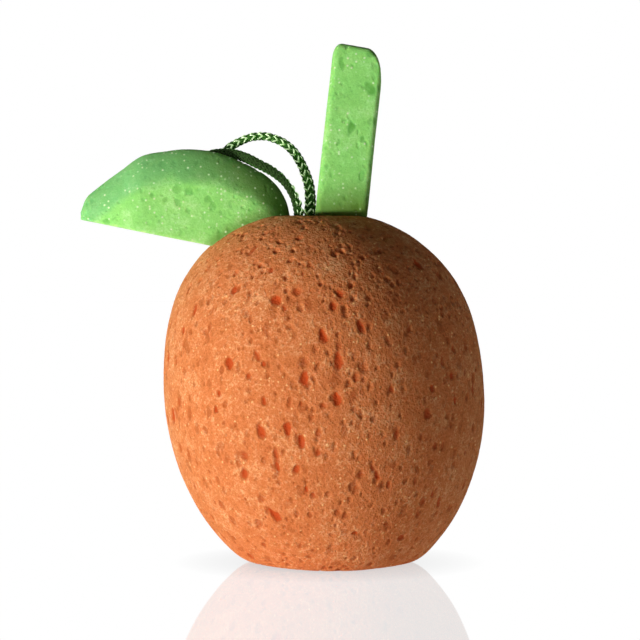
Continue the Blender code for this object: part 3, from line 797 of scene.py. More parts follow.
class LoopSettings(bpy.types.PropertyGroup):
    """Sizes and colours of the knitted cord."""

    wide: length("Width", "Width of the flat cord", 4.2 * MM)
    thick: length("Thickness", "Thickness of the flat cord", 2.9 * MM)
    pitch: length("Stitch", "Length of one row of stitches", 1.55 * MM)
    wales: IntProperty(name="Columns", description="Columns of stitches round the cord", default=7)
    yarn: length("Yarn", "Half the yarn's thickness", 0.32 * MM)
    bright_pitch: length("Bright stitch", "Length of one bright stitch", 2.5 * MM)
    bright_yarn: length("Bright yarn", "Half the bright thread's thickness", 0.26 * MM)
    nap: length("Nap", "How far the core lies under the yarn", 0.3 * MM)
    swing: length("Swing", "How far the wool rises and dives in a stitch", 0.06 * MM)
    bright_wale: share("Bright column", "Its place, as a share of the way round", 0.08)
    bright_reach: share("Bright reach", "Width of a bright stitch's leg, as a share of the way round", 0.13)
    bright_lift: length("Bright lift", "Height of the bright thread over the wool", 0.18 * MM)
    bright_swing: length("Bright swing", "How far the bright thread rises and dives", 0.42 * MM)
    dot_away: share("Dots' place", "From the bright column, as a share of the way round", 0.24)
    dot_reach: share("Dots' reach", "How far the dots' thread wanders, as a share of the way round", 0.03)
    dot_yarn: length("Dots' yarn", "Half the thickness of the dots' thread", 0.19 * MM)
    dot_sunk: length("Dots' depth", "How far the dots' thread lies under the wool", 0.16 * MM)
    dot_swing: length("Dots' swing", "How far the dots' thread rises and dives", 0.58 * MM)
    knot_yarn: length("Knot", "Half the cord's thickness in the knot", 1.75 * MM)
    dark: tint("Yarn", "Colour of the yarn in its shaded parts", 34, 78, 20)
    light: tint("Yarn, lit", "Colour of the yarn's ribs", 98, 172, 62)
    # Painted shade: the darker olive on the cord's side away from the bright column darkens the strand that
    # lies in the leaf's shadow.
    back: tint("Back", "Colour of the yarn on the cord's back", 30, 44, 10)
    bright: tint("Bright thread", "Colour of the bright thread", 222, 250, 196)
    glue: tint("Glue", "Colour of the set glue", 236, 230, 214)


class StageSettings(bpy.types.PropertyGroup):
    """Camera, lamp, light from all round and floor."""

    elevation: FloatProperty(
        name="Elevation", description="Camera's angle above level", default=math.radians(2.0), subtype="ANGLE"
    )
    aim: location("Aim", "Where the camera looks", -3.45 * MM, 0.0, 75.4 * MM)
    distance: length("Distance", "Camera's distance", 0.8)
    lens: FloatProperty(name="Lens", description="Focal length in millimetres", default=144.1)
    key: FloatProperty(name="Key lamp", description="Power of the left lamp", default=4.1, unit="POWER")
    key_place: location("Key lamp's place", "Where the left lamp stands", -0.559, -0.421, 0.03)
    key_aim: location("Key lamp's aim", "Where the left lamp points", 0.0, 0.0, 0.06)
    key_wide: length("Key lamp's width", "Width of the left lamp", 0.24)
    key_tall: length("Key lamp's height", "Height of the left lamp", 0.055)
    ambient: share("Ambient", "Level of the light from all round", 0.038)
    bounce: share("Bounce", "Level of the light that the floor gives back", 0.27)
    mirror: share("Mirror", "Share of the floor's mirror image", 0.24)
    contact: share("Contact shadow", "Share of the floor's white that is lost right beside the sponge", 0.2)
    contact_reach: length("Contact reach", "How far from the sponge the contact shadow goes", 16 * MM)
    floor_drop: length("Floor drop", "How far the floor lies under the base", 0.3 * MM)


def settings(name):
    """One group of the scene's settings."""
    return getattr(bpy.context.scene, "sponge_" + name)


# Fruit


def dimple_floor():
    """Height of the dimple's floor in the fruit's crown."""
    s = settings("fruit")
    return s.widest + s.rise - s.dimple_depth


def fruit_section():
    """The fruit's half section as even steps of radius and height, from the dimple's middle to the base's.

    Above the widest line radius and height follow a superellipse, sunk in the middle by the dimple, below
    it an ellipse that the base cuts off, and the base's rim is a quadratic curve.
    """
    s = settings("fruit")
    turn = np.linspace(0.0, math.pi / 2, 700)
    radius = s.radius * np.sin(turn) ** (2.0 / s.power)
    height = s.widest + s.rise * np.cos(turn) ** (2.0 / s.power)
    height -= s.dimple_depth * (1.0 - smooth_step(radius / s.dimple))
    depth = s.widest / math.sqrt(1.0 - (s.base / s.radius) ** 2)
    lower = np.linspace(s.widest, s.base_edge, 500)[1:]
    belly = s.radius * np.sqrt(1.0 - ((s.widest - lower) / depth) ** 2)
    start, corner = np.array([belly[-1], lower[-1]]), np.array([s.base, 0.0])
    t = np.linspace(0.0, 1.0, 60)[1:, None]
    rim = (1.0 - t) ** 2 * start + 2.0 * t * (1.0 - t) * corner + t**2 * np.array([s.base - s.base_edge, 0.0])
    curve = np.vstack([np.column_stack([radius, height]), np.column_stack([belly, lower]), rim, [[0.0, 0.0]]])
    run = run_along(curve)
    return looked_up(np.linspace(0.0, run[-1], 2400), run, curve)


def crown_height(x, y):
    """Height of the fruit's upper surface at points seen from above, by three steps to its leaning axis."""
    s = settings("fruit")
    section = fruit_section()
    upper = section[: int(np.argmax(section[:, 0])) + 1]
    height = np.full(np.shape(x), s.widest + s.rise)
    for _ in range(3):
        away = np.hypot(x + s.lean * height, y)
        height = np.interp(away, upper[:, 0], upper[:, 1])
    return height


def ball_grid(count):
    """Directions over a ball as six square patches, whose two parameters run by equal angles."""
    steps = np.tan(np.linspace(-math.pi / 4, math.pi / 4, count + 1))
    u, v = (a.ravel() for a in np.meshgrid(steps, steps, indexing="ij"))
    one = np.ones_like(u)
    patches = [(one, u, v), (-one, -u, v), (-u, one, v), (u, -one, v), (u, v, one), (-u, v, -one)]
    directions = unit(np.vstack([np.column_stack(p) for p in patches]))
    quads = grid_quads(count + 1, count + 1)
    size = (count + 1) ** 2
    return directions, np.vstack([quads + k * size for k in range(6)])


def fruit_surface(directions):
    """The fruit's smooth surface: the angle from the top picks the place on the half section, which is then
    turned to the direction's own side and moved along X by the lean."""
    s = settings("fruit")
    section = fruit_section()
    angle = np.arccos(np.clip(directions[:, 2], -1.0, 1.0)) / math.pi
    spot = looked_up(angle, np.linspace(0.0, 1.0, len(section)), section)
    side = unit(directions * np.array([1.0, 1.0, 0.0]))
    x = side[:, 0] * spot[:, 0] - s.lean * spot[:, 1]
    return np.column_stack([x, side[:, 1] * spot[:, 0], spot[:, 1]])


def all_round_pores():
    """Large pores for the whole fruit: those of the front, and others along a golden spiral with jitter."""
    s = settings("fruit")
    section = fruit_section()
    lower = section[int(np.argmax(section[:, 0])) :][::-1]
    upper = section[: int(np.argmax(section[:, 0])) + 1]
    chance = np.random.default_rng(11)
    found = []
    for across, height, wide, tall, lean, strength in FRONT_PORES_MM:
        z = height * MM
        if z < s.widest:
            radius = np.interp(z, lower[:, 1], lower[:, 0])
        else:
            radius = np.interp(-z, -upper[:, 1], upper[:, 0])
        x = across * MM
        depth = math.sqrt(max(float(radius) ** 2 - (x + s.lean * z) ** 2, 0.0))
        found.append((x, -depth, z, wide * MM, tall * MM, math.radians(lean), strength))
    k = np.arange(s.pores) + 0.5
    z = 1.0 - 2.0 * k / s.pores
    turn = math.pi * (1.0 + math.sqrt(5.0)) * k
    ring = np.sqrt(1.0 - z * z)
    directions = np.column_stack([ring * np.cos(turn), ring * np.sin(turn), z])
    places = fruit_surface(unit(directions + chance.normal(0.0, 0.045, directions.shape)))
    front = np.array([f[:3] for f in found])
    for place in places:
        wide, slant = chance.uniform(0.6, 1.35), chance.normal(0.0, 10.0)
        tall = wide * chance.uniform(1.2, 2.1)
        if np.linalg.norm(front - place, axis=1).min() < (5.5 if place[1] > -0.6 * s.radius else 8.0) * MM:
            continue
        strength = chance.uniform(0.35, 1.0)
        if place[2] > s.quiet_from:
            strength *= 0.5
        found.append((*place, wide * MM, tall * MM, math.radians(slant), strength))
    return found


def sink_pores(points, inward, pores):
    """Depth of the large pores, and how strongly each point takes their colour of painted shade and glow.

    Each pore is an upright oval with a ragged rim and soft walls. In the surface's own directions across and
    along, the oval's radius is one at its rim. The depth goes from nothing just outside the rim to the pore's
    depth well inside it, by a smooth step.
    """
    ragged = cloud(points, 2.3 * MM, 5) * 0.36 + cloud(points, 0.9 * MM, 6) * 0.2
    depth = np.zeros(len(points))
    colour = np.zeros(len(points))
    for x, y, z, wide, tall, lean, strength in pores:
        reach = 1.7 * max(wide, tall)
        near = np.flatnonzero((np.abs(points[:, 2] - z) < reach) & (np.abs(points[:, 0] - x) < reach))
        near = near[np.abs(points[near, 1] - y) < reach]
        if not len(near):
            continue
        gap = points[near] - (x, y, z)
        normal = inward[near[np.argmin((gap**2).sum(axis=1))]]
        along = np.array([0.0, 0.0, 1.0]) - normal[2] * normal
        if np.linalg.norm(along) < 0.2:
            along = np.array([1.0, 0.0, 0.0]) - normal[0] * normal
        along /= np.linalg.norm(along)
        across = np.cross(normal, along)
        u, v = gap @ across, gap @ along
        turned_u = u * math.cos(lean) + v * math.sin(lean)
        turned_v = v * math.cos(lean) - u * math.sin(lean)
        pointed = turned_u / wide * (1.0 + 0.2 * turned_v / tall)
        away = np.hypot(pointed, turned_v / tall) * (1.0 + ragged[near])
        bowl = smooth_step((1.2 - away) / 0.95) * min(0.6 * wide, 0.75 * MM) * (0.4 + 0.6 * strength)
        depth[near] = np.maximum(depth[near], bowl)
        colour[near] = np.maximum(colour[near], smooth_step((1.2 - away) / 0.65) * strength)
    return depth, colour


def cut_foam(points, quads, thirds, s, seed, pores=(), coarse=1.0):
    """Turns a smooth closed surface into cut foam, by a piece's settings.

    The points go inwards by the deepest of the large pores and two sizes of bubbles, whose depth is times
    the coarseness, and in or out a little with slow noise. Wide soft blots hardly go in, but have some of
    the pores' colour. Noise sways the points before the larger bubbles and the blots are cut, so that none
    of them is quite round. Returns the points, and how hollow each is, from 0 to 1.
    """
    cell, relief = s.bubble, s.bubble_relief
    inward = -vertex_normals(points, quads, thirds)
    none = np.zeros(len(points))
    large, colour = sink_pores(points, inward, pores) if pores else (none, none)
    sway = np.column_stack([cloud(points, 1.9 * MM, seed + 7 + k) for k in range(3)]) * MM
    middle = bubbles(points + 0.45 * sway, inward, 2.8 * cell, 0.17, 0.38, 0.9, s.stretch, 0.7 * cell, seed)
    small = bubbles(points, inward, 1.5 * cell, 0.22, 0.46, 0.8, 1.15, 0.4 * cell, seed + 1)
    wide = bubbles(points + sway, inward, s.blot, 0.18, 0.42, 0.95, 1.25 * s.stretch, 1.0 * MM, seed + 5)
    wide = smooth_step(wide / (1.1 * MM)) * s.blots * (1.0 + 0.35 * cloud(points, 1.6 * MM, seed + 6))
    fine = cloud(points, 0.6 * cell, seed + 2) * 0.06 * cell
    slow = (cloud(points, 22 * MM, seed + 3) + cloud(points, 7 * MM, seed + 4) * 0.3) * s.rough
    deepest = np.maximum(large, np.maximum(middle, 0.6 * small) * relief * coarse) + wide * 0.15 * MM
    hollow = np.maximum(colour, 0.6 * np.clip(middle / (0.7 * cell), 0.0, 1.0) * min(1.0, 1.4 * relief))
    hollow = np.maximum(hollow, 0.32 * np.clip(small / (0.4 * cell), 0.0, 1.0) * min(1.0, 1.4 * relief))
    return points + inward * (deepest + fine * relief + slow)[:, None], np.maximum(hollow, wide)


def foot_share(points, reach):
    """How close each point is to the fruit's crown, from 0 at the given height above it to 1 inside it."""
    above = points[:, 2] - crown_height(points[:, 0], points[:, 1])
    return smooth_step(1.0 - above / reach)


class SPONGE_OT_fruit(bpy.types.Operator):
    """Make the orange foam fruit"""

    bl_idname = "sponge.fruit"
    bl_label = "Fruit"

    def execute(self, context):
        s = settings("fruit")
        directions, quads = ball_grid(s.count)
        points, quads, thirds = weld(fruit_surface(directions), quads)
        coarse = 1.0 + s.coarse * smooth_step((points[:, 2] - s.coarse_from) / s.coarse_run)
        cut, hollow = cut_foam(points, quads, thirds, s, 40, all_round_pores(), coarse)
        cut[:, 2] = np.maximum(cut[:, 2], 0.0)
        piece = new_mesh("foam_fruit", cut, quads, thirds, {"hollow": hollow})
        finish = foam_finish("orange_foam_finish", s, ())
        settle(piece, finish, "orange_foam", ["sponge"], "sponge_body")
        return {"FINISHED"}


# Leaf


def leaf_ring(under, corner, side, roll, power):
    """One closed ring of the blade as shares of its thickness, edge, face height and roll.

    It runs along the flat underside, round the front corner, up the front face, over the rolled top, down
    the back face and round the back corner. The roll is a superellipse.
    """
    rows = [(a, -a, 0.0, 0.0, 0.0) for a in np.linspace(1.0, -1.0, under)]
    turn = np.linspace(0.0, math.pi / 2, corner + 1)[1:]
    rows += [(-1.0, 1.0 - math.sin(t), 1.0 - math.cos(t), 0.0, 0.0) for t in turn]
    rows += [(-1.0, 0.0, 1.0, a, 0.0) for a in np.linspace(0.0, 1.0, side + 1)[1:]]
    for t in np.linspace(math.pi, 0.0, roll + 2)[1:-1]:
        across = math.copysign(abs(math.cos(t)) ** (2.0 / power), math.cos(t))
        rows.append((across, 0.0, 1.0, 1.0, math.sin(t) ** (2.0 / power)))
    rows += [(1.0, 0.0, 1.0, a, 0.0) for a in np.linspace(1.0, 0.0, side + 1)[:-1]]
    rows += [(1.0, math.sin(t) - 1.0, 1.0 - math.cos(t), 0.0, 0.0) for t in turn[::-1]]
    return np.array(rows[:-1])


def leaf_points(stations, ring):
    """The blade's grid: one ring at each station from heel to tip.

    Width and height of a ring come from the lines of the top, the underside and the thickness. The heel
    and the tip close in a half round, and the underside rides on the fruit's crown, a little inside it.
    """
    s = settings("leaf")
    datum = dimple_floor() - s.drop
    turn = np.linspace(0.0, math.pi, stations)
    along = 0.35 * (0.5 - 0.5 * np.cos(turn)) + 0.65 * np.linspace(0.0, 1.0, stations)
    top = smooth_curve([(x, z, 0.0) for x, z in LEAF_TOP_SHARES])
    under = np.array(LEAF_UNDERSIDE_SHARES)
    high = datum + s.rise * np.interp(along, top[:, 0], top[:, 1])
    line = datum + s.rise * np.interp(along, under[:, 0], under[:, 1])
    taper = smooth_step((1.0 - along) / s.taper)
    half = 0.5 * (s.tip_thick + (s.thick - s.tip_thick) * taper)
    heel_round = np.clip(1.0 - along * s.long / s.heel_round, 0.0, 1.0)
    tip_round = np.clip(1.0 - (1.0 - along) * s.long / (0.6 * s.tip_thick), 0.0, 1.0)
    half = half * np.sqrt(np.maximum(1.0 - heel_round**2, 0.0)) * np.sqrt(np.maximum(1.0 - tip_round**2, 0.0))
    x = -s.heel - s.long * along
    edge = np.minimum(np.minimum(s.edge, half / 2), (high - line) / 4)
    roll = np.minimum(s.roll, 0.6 * (high - line))
    y = half[:, None] * ring[:, 0] + edge[:, None] * ring[:, 1]
    grid_x = np.repeat(x[:, None], len(ring), axis=1)
    low = np.maximum(line[:, None], crown_height(grid_x, y) - s.sunk)
    low = np.minimum(low, (high - roll - edge)[:, None])
    face = (high - roll - edge)[:, None] - low
    z = low + edge[:, None] * ring[:, 2] + face * ring[:, 3] + roll[:, None] * ring[:, 4]
    return np.stack([grid_x, y, z], axis=-1).reshape(-1, 3)


def band_share(points):
    """How far each point lies within the band of painted shade along the leaf's top, from 0 to 1 with an
    uneven edge, and its distance from the heel as a share of the leaf's length."""
    s = settings("leaf")
    top = smooth_curve([(x, z, 0.0) for x, z in LEAF_TOP_SHARES])
    along = (-s.heel - points[:, 0]) / s.long
    high = dimple_floor() - s.drop + s.rise * np.interp(along, top[:, 0], top[:, 1])
    uneven = cloud(points, s.band_fade, 64) * s.band_uneven
    return smooth_step((points[:, 2] - high + s.band_tall + uneven) / s.band_fade), along


class SPONGE_OT_leaf(bpy.types.Operator):
    """Make the green foam leaf"""

    bl_idname = "sponge.leaf"
    bl_label = "Leaf"

    def execute(self, context):
        s = settings("leaf")
        ring = leaf_ring(under=26, corner=4, side=62, roll=64, power=s.roll_power)
        stations = 210
        quads = grid_quads(stations, len(ring), closed=True)
        points, quads, thirds = weld(leaf_points(stations, ring), quads)
        cut, hollow = cut_foam(points, quads, thirds, s, 60)
        inside, along = band_share(cut)
        # Painted shadow of the cord and the heel: the foot's colour laid on the band near the heel.
        shade = s.shade * inside * smooth_step(1.0 - along / s.shade_run)
        # Painted shade where the leaf meets the fruit, by the foot's colour.
        foot = np.maximum(s.foot_shade_show * foot_share(cut, s.foot_shade_reach), shade)
        # Painted shade along the rolled top, stronger towards the tip.
        band = s.band_show * inside * (0.5 + 0.5 * smooth_step(along / 0.6))
        values = {"hollow": hollow, "foot": foot, "band": band}
        piece = new_mesh("foam_leaf", cut, quads, thirds, values)
        settle(piece, green_finish(), "green_foam", ["sponge"], "leaf")
        return {"FINISHED"}


def green_finish():
    """The green foam's finish, made once for leaf and stem."""
    s = settings("leaf")
    name = "green_foam_finish"
    # Both edges bring in painted shade: the band along the leaf's top, and the foot by the fruit.
    edges = (("band", s.band), ("foot", s.foot))
    return bpy.data.materials.get(name) or foam_finish(name, s, edges)


# Stem


def stem_top(across):
    """Height of the strip's top above its foot: a slanted line with an elliptical corner at each end."""
    s = settings("stem")
    half = s.wide / 2
    height = s.root + s.tall - s.top_drop * (across + half) / s.wide
    left = np.clip((s.left_corner - half - across) / s.left_corner, 0.0, 1.0)
    right = np.clip((across - half + s.right_wide) / s.right_wide, 0.0, 1.0)
    height -= s.left_corner * (1.0 - np.sqrt(1.0 - left**2))
    return height - s.right_tall * (1.0 - np.sqrt(1.0 - right**2))


def stem_points(around, rows, start):
    """The strip's grid: level rings of a rounded rectangle up its sides, a rounded rim, and rings that close
    the top by shrinking to a line."""
    s = settings("stem")
    corner = np.linspace(0.0, math.pi / 2, 7)
    wide, thick, edge = s.wide / 2, s.thick / 2, s.edge
    ring = []
    for k, (sx, sy) in enumerate([(1, 1), (-1, 1), (-1, -1), (1, -1)]):
        turn = corner + k * math.pi / 2
        x, y = sx * (wide - edge), sy * (thick - edge)
        ring += [(x + edge * math.cos(t), y + edge * math.sin(t)) for t in turn]
    ring = np.array(ring + ring[:1])
    run = run_along(ring)
    ring = looked_up(np.linspace(0.0, run[-1], around + 1)[:-1], run, ring)
    shares = np.linspace(0.0, 1.0, rows)
    top = stem_top(ring[:, 0]) - edge
    sides = [np.column_stack([ring, start + (top - start) * a]) for a in shares]
    rims = []
    for t in np.linspace(0.0, math.pi / 2, 6)[1:]:
        pull = 1.0 - edge * (1.0 - math.cos(t)) / np.array([wide, thick])
        rim = ring * pull
        rims.append(np.column_stack([rim, stem_top(rim[:, 0]) - edge * (1.0 - math.sin(t))]))
    caps = []
    for a in np.linspace(1.0, 0.0, 15)[1:]:
        cap = rims[-1][:, :2] * np.array([0.5 + 0.5 * a, a])
        caps.append(np.column_stack([cap, stem_top(cap[:, 0])]))
    foot = []
    for a in np.linspace(0.0, 1.0, 6)[:-1]:
        foot.append(np.column_stack([ring * np.array([0.5 + 0.5 * a, a]), np.full(len(ring), start)]))
    local = np.vstack(foot + sides + rims + caps)
    x = s.seat + local[:, 0] * math.cos(s.lean) + local[:, 2] * math.sin(s.lean)
    z = dimple_floor() - s.root - local[:, 0] * math.sin(s.lean) + local[:, 2] * math.cos(s.lean)
    return np.column_stack([x, local[:, 1], z]), len(local) // around


class SPONGE_OT_stem(bpy.types.Operator):
    """Make the green foam stem"""

    bl_idname = "sponge.stem"
    bl_label = "Stem"

    def execute(self, context):
        s = settings("stem")
        around = 150
        points, rows = stem_points(around, 175, s.hidden)
        points, quads, thirds = weld(points, grid_quads(rows, around, closed=True))
        cut, hollow = cut_foam(points, quads, thirds, s, 87)
        # Painted shade on the stem's lowest part, by the foot's colour.
        values = {"hollow": hollow, "foot": s.foot_shade_show * foot_share(cut, s.foot_shade_reach)}
        piece = new_mesh("foam_stem", cut, quads, thirds, values)
        settle(piece, green_finish(), "green_foam", ["sponge"], "stem")
        return {"FINISHED"}


# Loop


def above_floor(place):
    """A place in millimetres over the dimple's floor, in metres over the base."""
    x, y, z = place
    return (x * MM, y * MM, z * MM + dimple_floor())


def cord_line():
    """The cord's centreline in even steps, with its face, side and width at each of them.

    The face starts as the front, taken square to the direction, and is turned about the direction by the
    angles given with the route. Angles and widths are evened out by a moving average.
    """
    curve = smooth_curve(np.array([above_floor(point) for point in CORD_ROUTE_MM]))
    run = run_along(curve)
    steps = np.linspace(0.0, run[-1], int(run[-1] / (0.3 * MM)))
    line = looked_up(steps, run, curve)
    direction = unit(np.gradient(line, axis=0))
    by_point = np.column_stack([np.radians(CORD_FACE_TURNS), np.array(CORD_WIDTHS_MM) * MM])
    reach = 12
    window = np.ones(2 * reach + 1) / (2 * reach + 1)
    padded = np.pad(looked_up(steps, run[::CURVE_STEPS], by_point), ((reach, reach), (0, 0)), mode="edge")
    turn, wide = (np.convolve(column, window, mode="valid")[:, None] for column in padded.T)
    front = unit(np.array([0.0, -1.0, 0.0]) + direction * direction[:, 1:2])
    face = front * np.cos(turn) + np.cross(direction, front) * np.sin(turn)
    return steps, line, face, np.cross(direction, face), wide


def oval_table(wide, thick):
    """A table from the share of an oval's outline to its point and outward normal, counted from its face."""
    angle = np.linspace(0.0, 2.0 * math.pi, 721)
    outline = np.column_stack([thick * np.cos(angle), wide * np.sin(angle)])
    run = run_along(outline)
    normal = unit(np.column_stack([wide * np.cos(angle), thick * np.sin(angle)]))
    return run / run[-1], outline, normal


def tube_on(cord, oval, at, around, height, radius, sides):
    """A thread laid on the cord, by distance along it, share around it and height over the oval.

    The oval is stretched sideways to the cord's width there. Each point becomes a ring of the thread's
    radius, square to the thread's own direction, and the radius shrinks to nothing at both ends.
    """
    steps, line, face, side, wide = cord
    shares, outline, normal = oval
    spot = looked_up(np.mod(around, 1.0), shares, outline)
    out = looked_up(np.mod(around, 1.0), shares, normal)
    middle, f, w, across = (looked_up(at, steps, table) for table in (line, face, side, wide))
    inset = settings("loop").wide / 2 - outline[:, 1].max()
    stretch = (across / 2 - inset) / (settings("loop").wide / 2 - inset)
    high = height[:, None]
    place = middle + f * (spot[:, :1] + out[:, :1] * high) + w * (spot[:, 1:] * stretch + out[:, 1:] * high)
    up = unit(f * out[:, :1] + w * out[:, 1:])
    heading = unit(np.gradient(place, axis=0))
    aside = unit(np.cross(heading, up))
    up = np.cross(aside, heading)
    radius = radius.copy()
    radius[[0, -1]] = 0.0
    turn = np.linspace(0.0, 2.0 * math.pi, sides, endpoint=False)
    ring = aside[:, None] * np.cos(turn)[None, :, None] + up[:, None] * np.sin(turn)[None, :, None]
    return (place[:, None] + ring * radius[:, None, None]).reshape(-1, 3)


def core_tube(cord, oval, sides):
    """The cord's inside, which closes the gaps between the stitches: the oval itself carried along the line,
    shrunk to a point at both ends."""
    steps, line, face, side, wide = cord
    shares, outline, _ = oval
    spot = looked_up(np.linspace(0.0, 1.0, sides, endpoint=False), shares, outline)
    inset = settings("loop").wide / 2 - outline[:, 1].max()
    stretch = (wide / 2 - inset) / (settings("loop").wide / 2 - inset)
    shrink = np.ones((len(steps), 1))
    shrink[[0, -1]] = 0.0
    ring = face[:, None] * spot[None, :, :1] + side[:, None] * (spot[None, :, 1:] * stretch[:, None])
    return (line[:, None] + ring * shrink[:, None]).reshape(-1, 3)


def stitch_thread(cord, wale, side, pitch, reach, radius, lift, swing, steps, seed, ragged=0.0):
    """One leg of a column of stitches, as a coil squashed flat on the cord.

    With the coil's angle a, the thread goes along the cord by a stitch for each turn, less a share of the
    stitch times the cosine, across by the cosine from the column's edge to its middle, and up by the sine.
    """
    total = cord[0][-1]
    turns = total / pitch
    a = np.linspace(0.0, 2.0 * math.pi * turns, int(steps * turns))
    chance = np.random.default_rng(seed)
    stitch = a / (2.0 * math.pi)

    def wobble(size):
        values = chance.normal(0.0, size, int(turns) + 3)
        return np.interp(stitch, np.arange(len(values)), values)

    at = np.clip(stitch * pitch - 0.1 * pitch * np.cos(a) + wobble(0.035 * pitch), 0.0, total)
    around = wale + side * reach * (0.54 + 0.46 * np.cos(a)) + wobble(0.004)
    height = lift + swing * np.sin(a) + wobble(0.04 * MM)
    swell = radius * (1.0 + 0.1 * np.sin(a) + wobble(0.06) - ragged * np.abs(wobble(1.0)))
    return at, around, height, np.maximum(swell, 0.4 * radius)


def knit(cord):
    """All the cord's threads: two mirrored legs for each column, a column of thick bright ones over them, and
    a thin bright one that peeps out beside it. Returns points, quads, how bright each point is and how far
    round to the back it lies, and the threads' own map."""
    s = settings("loop")
    inset = s.yarn + s.nap
    oval = oval_table(s.wide / 2 - inset, s.thick / 2 - inset)
    threads = []
    for k in range(s.wales):
        wale = s.bright_wale + k / s.wales
        for side in (-1, 1):
            shape = (s.pitch, 0.5 / s.wales, s.yarn, 0.0, s.swing)
            threads.append((stitch_thread(cord, wale, side, *shape, 9, 100 + 2 * k + side), 5, 0.0))
    for side in (-1, 1):
        shape = (s.bright_pitch, s.bright_reach, s.bright_yarn, s.bright_lift, s.bright_swing)
        threads.append((stitch_thread(cord, s.bright_wale, side, *shape, 14, 200 + side, 0.1), 6, 1.0))
    shape = (s.bright_pitch, s.dot_reach, s.dot_yarn, -s.dot_sunk, s.dot_swing)
    threads.append((stitch_thread(cord, s.bright_wale - s.dot_away, 1, *shape, 14, 300, 0.2), 5, 0.85))
    core_sides = 24
    core_away = np.linspace(0.0, 1.0, core_sides, endpoint=False) - s.bright_wale
    tubes = [(core_tube(cord, oval, core_sides), core_sides, 0.0, core_away)]
    for (at, around, height, radius), sides, shine in threads:
        away = around.mean() - s.bright_wale
        tube = tube_on(cord, oval, at, around, height, radius, sides)
        tubes.append((tube, sides, shine, np.full(sides, away)))
    points, quads, bright, back, maps, count = [], [], [], [], [], 0
    for ring, sides, shine, away in tubes:
        rings = len(ring) // sides
        points.append(ring)
        quads.append(grid_quads(rings, sides, closed=True) + count)
        bright.append(np.full(len(ring), shine))
        back.append(np.tile(0.5 - 0.5 * np.cos(2.0 * math.pi * away), rings))
        run = np.repeat(run_along(ring[::sides]) / (0.9 * MM), sides)
        turn = np.tile(np.arange(sides) / sides, rings)
        maps.append(np.column_stack([run + turn, turn]))
        count += len(ring)
    values = {"bright": np.concatenate(bright), "back": np.concatenate(back)}
    return np.vstack(points), np.vstack(quads), values, np.vstack(maps)


class SPONGE_OT_loop(bpy.types.Operator):
    """Make the knitted hang loop and its knot"""

    bl_idname = "sponge.loop"
    bl_label = "Hang loop"

    def execute(self, context):
        s = settings("loop")
        cord = cord_line()
        points, quads, values, uv = knit(cord)
        piece = new_mesh("knitted_loop", points, quads, None, values)
        layer = piece.data.uv_layers.new(name="thread")
        layer.data.foreach_set("uv", uv[quads.ravel()].astype(np.float32).ravel())
        yarn = yarn_finish("green_yarn_finish", s.dark, s.light, s.bright, s.back)
        settle(piece, yarn, "green_cord", ["sponge", "loop"], "hang_loop", "loop_root_near", "loop_root_far")
        above_floor(BEND_START_MM)
        above_floor(BEND_END_MM)
        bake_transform(piece)
        above_floor(CORD_EXIT_MM)
        self.make_knot(yarn)
        return {"FINISHED"}

    def make_knot(self, yarn):
        """The knot as a trefoil: x is sin t + 2 sin 2t, y is cos t - 2 cos 2t and z is -sin 3t, each times
        its own size."""
        low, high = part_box("loop_knot")
        middle, half = (np.array(low) + np.array(high)) / 2, (np.array(high) - np.array(low)) / 2
        thick = settings("loop").knot_yarn
        steps, sides = 180, 16
        t = np.linspace(0.0, 2.0 * math.pi, steps, endpoint=False)
        reach = (half - thick) / np.array([3.0, 3.0, 1.0])
        line = np.column_stack([np.sin(t) + 2 * np.sin(2 * t), np.cos(t) - 2 * np.cos(2 * t), -np.sin(3 * t)])
        line = middle + line * reach
        heading = unit(np.roll(line, -1, axis=0) - np.roll(line, 1, axis=0))
        aside = unit(np.cross(heading, (0.0, 0.0, 1.0)))
        up = np.cross(aside, heading)
        turn = np.linspace(0.0, 2.0 * math.pi, sides, endpoint=False)
        rib = 1.0 + 0.06 * np.sin(24 * t)[:, None] * np.cos(3 * turn)[None, :]
        ring = aside[:, None] * np.cos(turn)[None, :, None] + up[:, None] * np.sin(turn)[None, :, None]
        points = (line[:, None] + ring * (thick * rib)[:, :, None]).reshape(-1, 3)
        quads = grid_quads(steps + 1, sides, closed=True) % len(points)
        piece = new_mesh("tied_knot", points, quads, None, {"bright": np.zeros(len(points))})
        layer = piece.data.uv_layers.new(name="thread")
        uv = np.column_stack([np.repeat(t * 9, sides), np.tile(turn, steps)])
        layer.data.foreach_set("uv", uv[quads.ravel()].astype(np.float32).ravel())
        settle(piece, yarn, "green_cord", ["sponge"], "loop_knot")


class SPONGE_OT_glue(bpy.types.Operator):
    """Give the glue pads their finish"""

    bl_idname = "sponge.glue"
    bl_label = "Glue pads"

    def execute(self, context):
        finish = glue_finish("clear_glue_finish", settings("loop").glue)
        for name in ("leaf_glue", "stem_glue"):
            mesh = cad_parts[name].data
            mesh.materials.clear()
            mesh.materials.append(finish)
        return {"FINISHED"}


# Stage


def lamp(name, place, aim, wide, tall, power, colour):
    """A soft rectangular lamp that points at a place."""
    data = bpy.data.lights.new(name, "AREA")
    data.shape = "RECTANGLE"
    data.size = wide
    data.size_y = tall
    data.energy = power
    data.color = colour
    made = bpy.data.objects.new(name, data)
    made.location = place
    made.rotation_euler = (Vector(aim) - Vector(place)).to_track_quat("-Z", "Y").to_euler()
    made.visible_camera = False
    bpy.context.scene.collection.objects.link(made)


def seen_rays(tree):
    """One for rays from the camera, from mirrors and through glass, and nothing for the others."""
    path = tree.nodes.new("ShaderNodeLightPath")
    total = path.outputs["Is Camera Ray"]
    for name in ("Is Glossy Ray", "Is Transmission Ray"):
        plus = tree.nodes.new("ShaderNodeMath")
        plus.operation = "MAXIMUM"
        tree.links.new(total, plus.inputs[0])
        tree.links.new(path.outputs[name], plus.inputs[1])
        total = plus.outputs[0]
    return total


